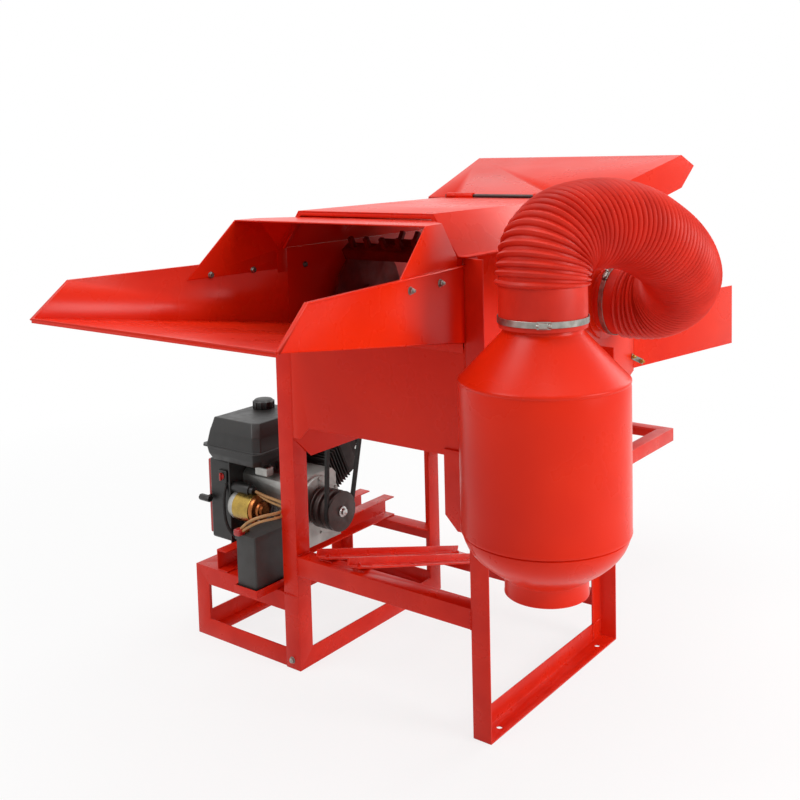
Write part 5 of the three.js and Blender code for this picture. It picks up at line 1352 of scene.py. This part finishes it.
@dataclass
class Cyclone:
    """The grain separator: a drum of rolled sheet with cone, bowl and collars.

    Beads, necks and rims are given as (further out, higher) than the radius and height that they are on.
    """

    x: float = 785.0
    y: float = -70.0
    wall: float = 3.0
    collar: float = 81.5
    collar_top: float = 1024.0
    cone_top: float = 988.0
    shoulder: float = 888.0
    radius: float = 177.0
    seam: float = 572.0
    outlet_radius: float = 88.0
    outlet_top: float = 476.0
    outlet: float = 437.0
    flat: float = 0.6
    collar_rim: Profile = ((-0.6, 0.0), (0.0, -1.0))
    collar_neck: Profile = ((0.0, 3.0), (1.2, 0.0), (4.0, -3.6))
    shoulder_bead: Profile = (
        (-5.0, 5.4), (-1.6, 3.2), (-0.2, 1.2), (0.0, -1.0), (-0.5, -3.0), (-2.0, -5.0), (-2.0, -8.0), (-0.8, -12.0),
        (-0.6, -60.0),
    )
    seam_bead: Profile = (
        (-0.6, 60.0), (-0.7, 9.0), (-0.1, 6.0), (0.0, 2.6), (-0.6, 0.4), (-2.6, -0.2), (-6.4, 0.6), (-6.8, -2.6),
        (-4.4, -4.6), (-4.6, -9.0),
    )
    bowl: Profile = (
        (169.0, 553.0), (164.0, 542.0), (155.5, 529.5), (144.0, 517.0), (130.5, 505.0), (115.5, 494.0),
        (101.0, 485.0),
    )
    outlet_neck: Profile = ((4.5, 1.6), (1.0, -1.0), (-0.6, -4.0))
    outlet_rim: Profile = ((-0.6, 6.0), (0.0, 4.0), (0.0, 1.0), (-1.0, 0.0))
    inner_seam: tuple[float, float] = (-6.5, -8.0)

    def build(self) -> None:
        """Turns the shell: collar, cone, drum with a rolled bead at each end, dished bowl and outlet."""
        outside = [
            *around(self.collar_rim, self.collar, self.collar_top),
            *around(self.collar_neck, self.collar, self.cone_top),
            *around(self.shoulder_bead, self.radius, self.shoulder),
            (self.radius - self.flat, (self.shoulder + self.seam) / 2),
            *around(self.seam_bead, self.radius, self.seam),
            *self.bowl,
            *around(self.outlet_neck, self.outlet_radius, self.outlet_top),
            *around(self.outlet_rim, self.outlet_radius, self.outlet),
        ]
        inside = around([
            (self.outlet_radius, self.outlet), (self.outlet_radius, self.outlet_top + 2),
            *((radius - 1, height + 3) for radius, height in reversed(self.bowl)),
            (self.radius + self.inner_seam[0], self.seam + self.inner_seam[1]), (self.radius, self.shoulder),
            (self.collar, self.cone_top), (self.collar, self.collar_top),
        ], -self.wall, 0.0)
        profile = [*outside, *inside, outside[0]]
        shell = Shop.turned("cyclone_shell", profile, 144, placed((self.x, self.y, 0), Axis.Z))
        Shop.dress(shell, Surface.ENAMEL, replaces=["cyclone"])


@dataclass(frozen=True)
class BandClamp:
    """A worm-drive band clamp: band, screw housing and slotted screw.

    The lug is modelled on the origin, along the band's edge in X and out from the band in Y, and then stood on it.
    """

    node: str
    name: str
    axis: Axis
    at: Point
    along: Point
    out: Point
    inside: float = 92.9
    wall: float = 1.1
    width: float = 13.0
    lip: float = 1.4
    screw_height: float = 4.6
    screw: Profile = (
        (0, -14), (2.6, -14), (3.2, -13), (3.2, 10), (5.0, 10.4), (5.4, 11), (5.4, 15.4), (4.8, 16), (0, 16),
    )

    def build(self) -> None:
        """Makes the clamp."""
        outside, middle = self.inside + self.wall, self.width / 2
        ring = [
            (self.inside, 0), (outside - 0.3, 0), (outside, 0.4), (outside, self.width - 0.4),
            (outside - 0.3, self.width), (self.inside, self.width), (self.inside, 0),
        ]
        band = Shop.turned("band", ring, 96, placed(self.at, self.axis))
        half = middle + self.lip
        lug = Shop.join("lug", [
            Shop.block("saddle", (-13, -0.6, -half), (15, 1.2, half), 0.5),
            Shop.block("housing", (-10, 0.8, 1.6 - half), (9, 8.0, half - 1.6), 2.6, 3),
            Shop.turned("screw", self.screw, 24, placed((0, self.screw_height, 0), Axis.X)),
        ])
        seat = Vector(self.at) + Vector(self.out) * (outside + 0.2) + self.axis.value @ Vector((0, 0, middle))
        across = Vector(self.along).cross(Vector(self.out))
        turn = Matrix((self.along, self.out, across)).transposed().to_4x4()
        lug.data.transform(Matrix.Translation(Shop.spot(*seat)) @ turn @ Matrix.Translation(-Shop.heel))
        Shop.dress(Shop.join(self.name, [band, lug]), Surface.GALVANISED, replaces=[self.node])


@dataclass
class Hose:
    """The ribbed duct from the fan to the cyclone, and the band clamps that hold it."""

    route: Sequence[Point] = (
        (785, -70, 996), (785, -70, 1048), (785, -69, 1098), (785, -52, 1144), (790, 2, 1178), (804, 80, 1191),
        (822, 165, 1190), (836, 255, 1172), (840, 345, 1141), (836, 435, 1106), (824, 520, 1064), (800, 596, 1020),
        (756, 650, 974), (703, 675, 944), (655, 680, 935), (600, 680, 935), (560, 680, 935),
    )
    crest: float = 98.5
    valley: float = 90.4
    bore: float = 87.0
    cuff_rise: float = 0.8
    cuff_gap: float = 3.0
    cuff: Span = (84.0, 44.0)
    rib_pitch: float = 18.4
    ridge_share: float = 0.72
    rib_rings: Sequence[float] = (0.0, 0.07, 0.2, 0.5, 0.8, 0.93)
    fullness: float = 0.6
    opening: float = 0.6
    sides: int = 56
    steps: int = 24
    bore_rings: int = 60
    clamps: Sequence[BandClamp] = (
        BandClamp(
            "hose_clamp_lower", "band_clamp_cyclone", Axis.Z, (785, -70, 1006),
            along=(0.864, 0.504, 0.0), out=(0.504, -0.864, 0.0),
        ),
        BandClamp(
            "hose_clamp_upper", "band_clamp_fan", Axis.X, (570, 680, 935),
            along=(0.0, 0.79, 0.613), out=(0.0, -0.613, 0.79),
        ),
    )

    def middle_line(self) -> list[Vector]:
        """The hose's middle line, as a smooth curve through the route's points.

        Returns:
            Points in metres, close together.
        """
        points = [Vector(p) for p in self.route]
        points = [points[0] * 2 - points[1], *points, points[-1] * 2 - points[-2]]
        line = []
        for a, b, c, d in zip(points, points[1:], points[2:], points[3:]):
            gaps = [math.sqrt((q - p).length) for p, q in ((a, b), (b, c), (c, d))]
            times = [0.0, gaps[0], gaps[0] + gaps[1], sum(gaps)]
            for i in range(self.steps):
                line.append(self.between((a, b, c, d), times, times[1] + (times[2] - times[1]) * i / self.steps))
        line.append(points[-2])
        return [Shop.spot(*p) for p in line]

    @staticmethod
    def between(points: Sequence[Vector], times: Sequence[float], t: float) -> Vector:
        """A point of a centripetal curve through the second and third of four points.

        Args:
            points: the four points.
            times: when the curve would pass each of them.
            t: when it passes the wanted point.

        Returns:
            The point.
        """
        row = list(points)
        for level in (1, 2, 3):
            new = []
            for i, (p, q) in enumerate(zip(row, row[1:])):
                low, high = (times[i], times[i + level]) if level < 3 else (times[1], times[2])
                share = (t - low) / (high - low)
                new.append(p * (1 - share) + q * share)
            row = new
        return row[0]

    def rib_starts(self, line: Sequence[Vector]) -> list[float]:
        """Spaces the ribs closer along the straight run and wider on the outer side of the bends.

        Args:
            line: the middle line, in metres.

        Returns:
            Where each rib begins along the middle line and where the last one ends, in millimetres.
        """
        along = [0.0]
        stretched = [0.0]
        for a, b, c in zip(line, line[1:], [*line[2:], line[-1] * 2 - line[-2]]):
            step = (b - a).length / MM
            turn = (b - a).angle(c - b, 0.0)
            along.append(along[-1] + step)
            stretched.append(stretched[-1] + step + self.opening * self.crest * turn)
        first = next(w for s, w in zip(along, stretched) if s >= self.cuff[0])
        last = next(w for s, w in zip(along, stretched) if s >= along[-1] - self.cuff[1])
        count = round((last - first) / self.rib_pitch)
        starts = []
        index = 0
        for i in range(count + 1):
            goal = first + (last - first) * i / count
            while stretched[index + 1] < goal and index + 2 < len(stretched):
                index += 1
            share = (goal - stretched[index]) / (stretched[index + 1] - stretched[index])
            starts.append(along[index] + share * (along[index + 1] - along[index]))
        return starts

    def profile(self, line: Sequence[Vector]) -> list[tuple[float, float]]:
        """The hose's wall as if it were straight: a cuff, the ribs, a cuff, and back along the bore.

        Args:
            line: the middle line, in metres.

        Returns:
            (radius, distance along the hose).
        """
        length = sum((q - p).length for p, q in zip(line, line[1:])) / MM
        marks = self.rib_starts(line)
        cuff = self.valley + self.cuff_rise
        outside = [(self.valley, 0.0), (cuff, 1.0), (cuff, marks[0] - self.cuff_gap)]
        for start, end in zip(marks, marks[1:]):
            ridge = (end - start) * self.ridge_share
            for share in self.rib_rings:
                height = math.sin(math.pi * share) ** self.fullness if share > 0 else 0.0
                outside.append((self.valley + (self.crest - self.valley) * height, start + ridge * share))
            outside.append((self.valley, start + ridge))
        outside += [(cuff, marks[-1] + self.cuff_gap), (cuff, length - 1), (self.valley, length)]
        inside = [(self.bore, length * (1 - i / self.bore_rings)) for i in range(self.bore_rings + 1)]
        return [*outside, *inside, outside[0]]

    def build(self) -> None:
        """Turns the hose straight, bends it along its middle line and puts on the clamps."""
        line = self.middle_line()
        hose = Shop.turned("ribbed_hose", self.profile(line), self.sides)
        guide = Shop.line("hose_route", "POLY", line)
        Shop.modify(hose, "CURVE", object=guide, deform_axis="POS_Z")
        bpy.data.objects.remove(guide)
        Shop.dress(Shop.smooth(hose, 50), Surface.HOSE_PVC, replaces=["hose"])
        for clamp in self.clamps:
            clamp.build()


@dataclass(frozen=True)
class Lamp:
    """A soft square lamp: its place and the place that it points at in metres, its side in metres and its watts."""

    name: str
    at: Point
    look: Point
    size: float
    power: float

    def hang(self) -> None:
        """Hangs the lamp."""
        data = bpy.data.lights.new(self.name, "AREA")
        data.shape = "SQUARE"
        data.size = self.size
        data.energy = self.power
        lamp = Shop.link(self.name, data)
        lamp.location = self.at
        lamp.rotation_euler = (Vector(self.look) - Vector(self.at)).to_track_quat("-Z", "Y").to_euler()


@dataclass
class Studio:
    """The camera where the photograph was taken from, the pale floor and the soft light."""

    position: Point = (1863.635, -1926.96, 1368.371)
    yaw: float = -37.836
    pitch: float = 5.075
    roll: float = -1.471
    lens: float = 47.53
    sensor: float = 36.0
    shift: float = -0.2
    reach: float = 200.0
    sky: float = 0.42
    floor_size: float = 60.0
    floor_level: float = -0.0005
    floor_fade: Span = (0.9, 3.2)
    floor_glow: Span = (0.8, 1.0)
    lamps: Sequence[Lamp] = (
        Lamp("key_lamp", (-1.3, -2.5, 4.3), (0.0, 0.0, 0.8), 2.2, 78),
        Lamp("side_lamp", (3.8, 0.3, 2.1), (0.3, 0.0, 0.8), 1.6, 88),
        Lamp("top_lamp", (0.2, 0.6, 4.4), (0.0, 0.0, 0.9), 2.4, 44),
        Lamp("rear_lamp", (0.5, 3.8, 2.6), (0.0, 0.0, 0.9), 2.2, 50),
    )

    def camera(self) -> None:
        """Places the camera."""
        yaw, pitch, roll = (math.radians(v) for v in (self.yaw, self.pitch, self.roll))
        ahead = Vector((math.sin(yaw) * math.cos(pitch), math.cos(yaw) * math.cos(pitch), -math.sin(pitch)))
        level = Vector((math.cos(yaw), -math.sin(yaw), 0.0))
        upright = level.cross(ahead)
        right = level * math.cos(roll) + upright * math.sin(roll)
        up = upright * math.cos(roll) - level * math.sin(roll)
        data = bpy.data.cameras.new("camera")
        data.lens = self.lens
        data.sensor_width = self.sensor
        data.shift_y = self.shift
        data.clip_end = self.reach
        camera = Shop.link("camera", data)
        turn = Matrix((right, up, -ahead)).transposed().to_4x4()
        camera.matrix_world = Matrix.Translation(Shop.spot(*self.position)) @ turn
        bpy.context.scene.camera = camera

    @staticmethod
    def as_background(tree: bpy.types.NodeTree) -> bpy.types.NodeSocket:
        """Tells where the camera sees something as background, directly or in metal or glass.

        Args:
            tree: the node tree of the floor or the world.

        Returns:
            A socket that is 1 there.
        """
        rays = add_node(tree, "ShaderNodeLightPath").outputs
        share = rays["Is Camera Ray"]
        for kind in ("Is Glossy Ray", "Is Transmission Ray"):
            share = add_node(tree, "ShaderNodeMath", {0: share, 1: rays[kind]}, operation="MAXIMUM").outputs[0]
        return share

    def world(self) -> None:
        """Lights the scene softly from all round, before a white background."""
        world = bpy.data.worlds.new("studio")
        bpy.context.scene.world = world
        world.use_nodes = True
        tree = world.node_tree
        tree.nodes.clear()
        soft = add_node(tree, "ShaderNodeBackground", {"Color": WHITE, "Strength": self.sky})
        white = add_node(tree, "ShaderNodeBackground", {"Color": WHITE, "Strength": 1.0})
        shares = {0: self.as_background(tree), 1: soft.outputs[0], 2: white.outputs[0]}
        mix = add_node(tree, "ShaderNodeMixShader", shares)
        add_node(tree, "ShaderNodeOutputWorld", {"Surface": mix.outputs[0]})

    def floor(self) -> None:
        """Lays the floor, which fades to white round the machine and keeps its shadow."""
        Shop.clear()
        bpy.ops.mesh.primitive_plane_add(size=self.floor_size, location=(0, 0, self.floor_level))
        floor = bpy.context.object
        floor.name = "studio_floor"
        material = bpy.data.materials.new("white_studio_floor")
        material.use_nodes = True
        tree = material.node_tree
        tree.nodes.clear()
        matt = add_node(tree, "ShaderNodeBsdfDiffuse", {"Color": linear("F2F2F2")})
        glow = add_node(tree, "ShaderNodeEmission", {"Color": WHITE, "Strength": 1.0})
        place = add_node(tree, "ShaderNodeTexCoord").outputs["Object"]
        away = add_node(tree, "ShaderNodeVectorMath", {0: place}, operation="LENGTH").outputs["Value"]
        fade = add_node(tree, "ShaderNodeMapRange", {
            "Value": away, "From Min": self.floor_fade[0], "From Max": self.floor_fade[1],
            "To Min": self.floor_glow[0], "To Max": self.floor_glow[1],
        })
        shares = {0: self.as_background(tree), 1: fade.outputs["Result"]}
        share = add_node(tree, "ShaderNodeMath", shares, operation="MULTIPLY")
        mix = add_node(tree, "ShaderNodeMixShader", {0: share.outputs[0], 1: matt.outputs[0], 2: glow.outputs[0]})
        add_node(tree, "ShaderNodeOutputMaterial", {"Surface": mix.outputs[0]})
        floor.data.materials.append(material)

    def build(self) -> None:
        """Sets up the studio."""
        bpy.context.scene.view_settings.view_transform = "Standard"
        self.camera()
        self.world()
        for lamp in self.lamps:
            lamp.hang()
        self.floor()


def main() -> None:
    """Builds the studio and the machine."""
    logging.basicConfig(level=logging.INFO, format="%(message)s")
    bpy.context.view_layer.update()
    Shop.settle()
    for part in (
        Studio(), IronFrame(), SheetBody(), SheetFittings(), ThreshingGear(), Engine(), EngineFittings(), Cyclone(),
        Hose(),
    ):
        LOG.info("== %s", type(part).__name__)
        part.build()
    Shop.clear()


if __name__ == "__main__":
    main()
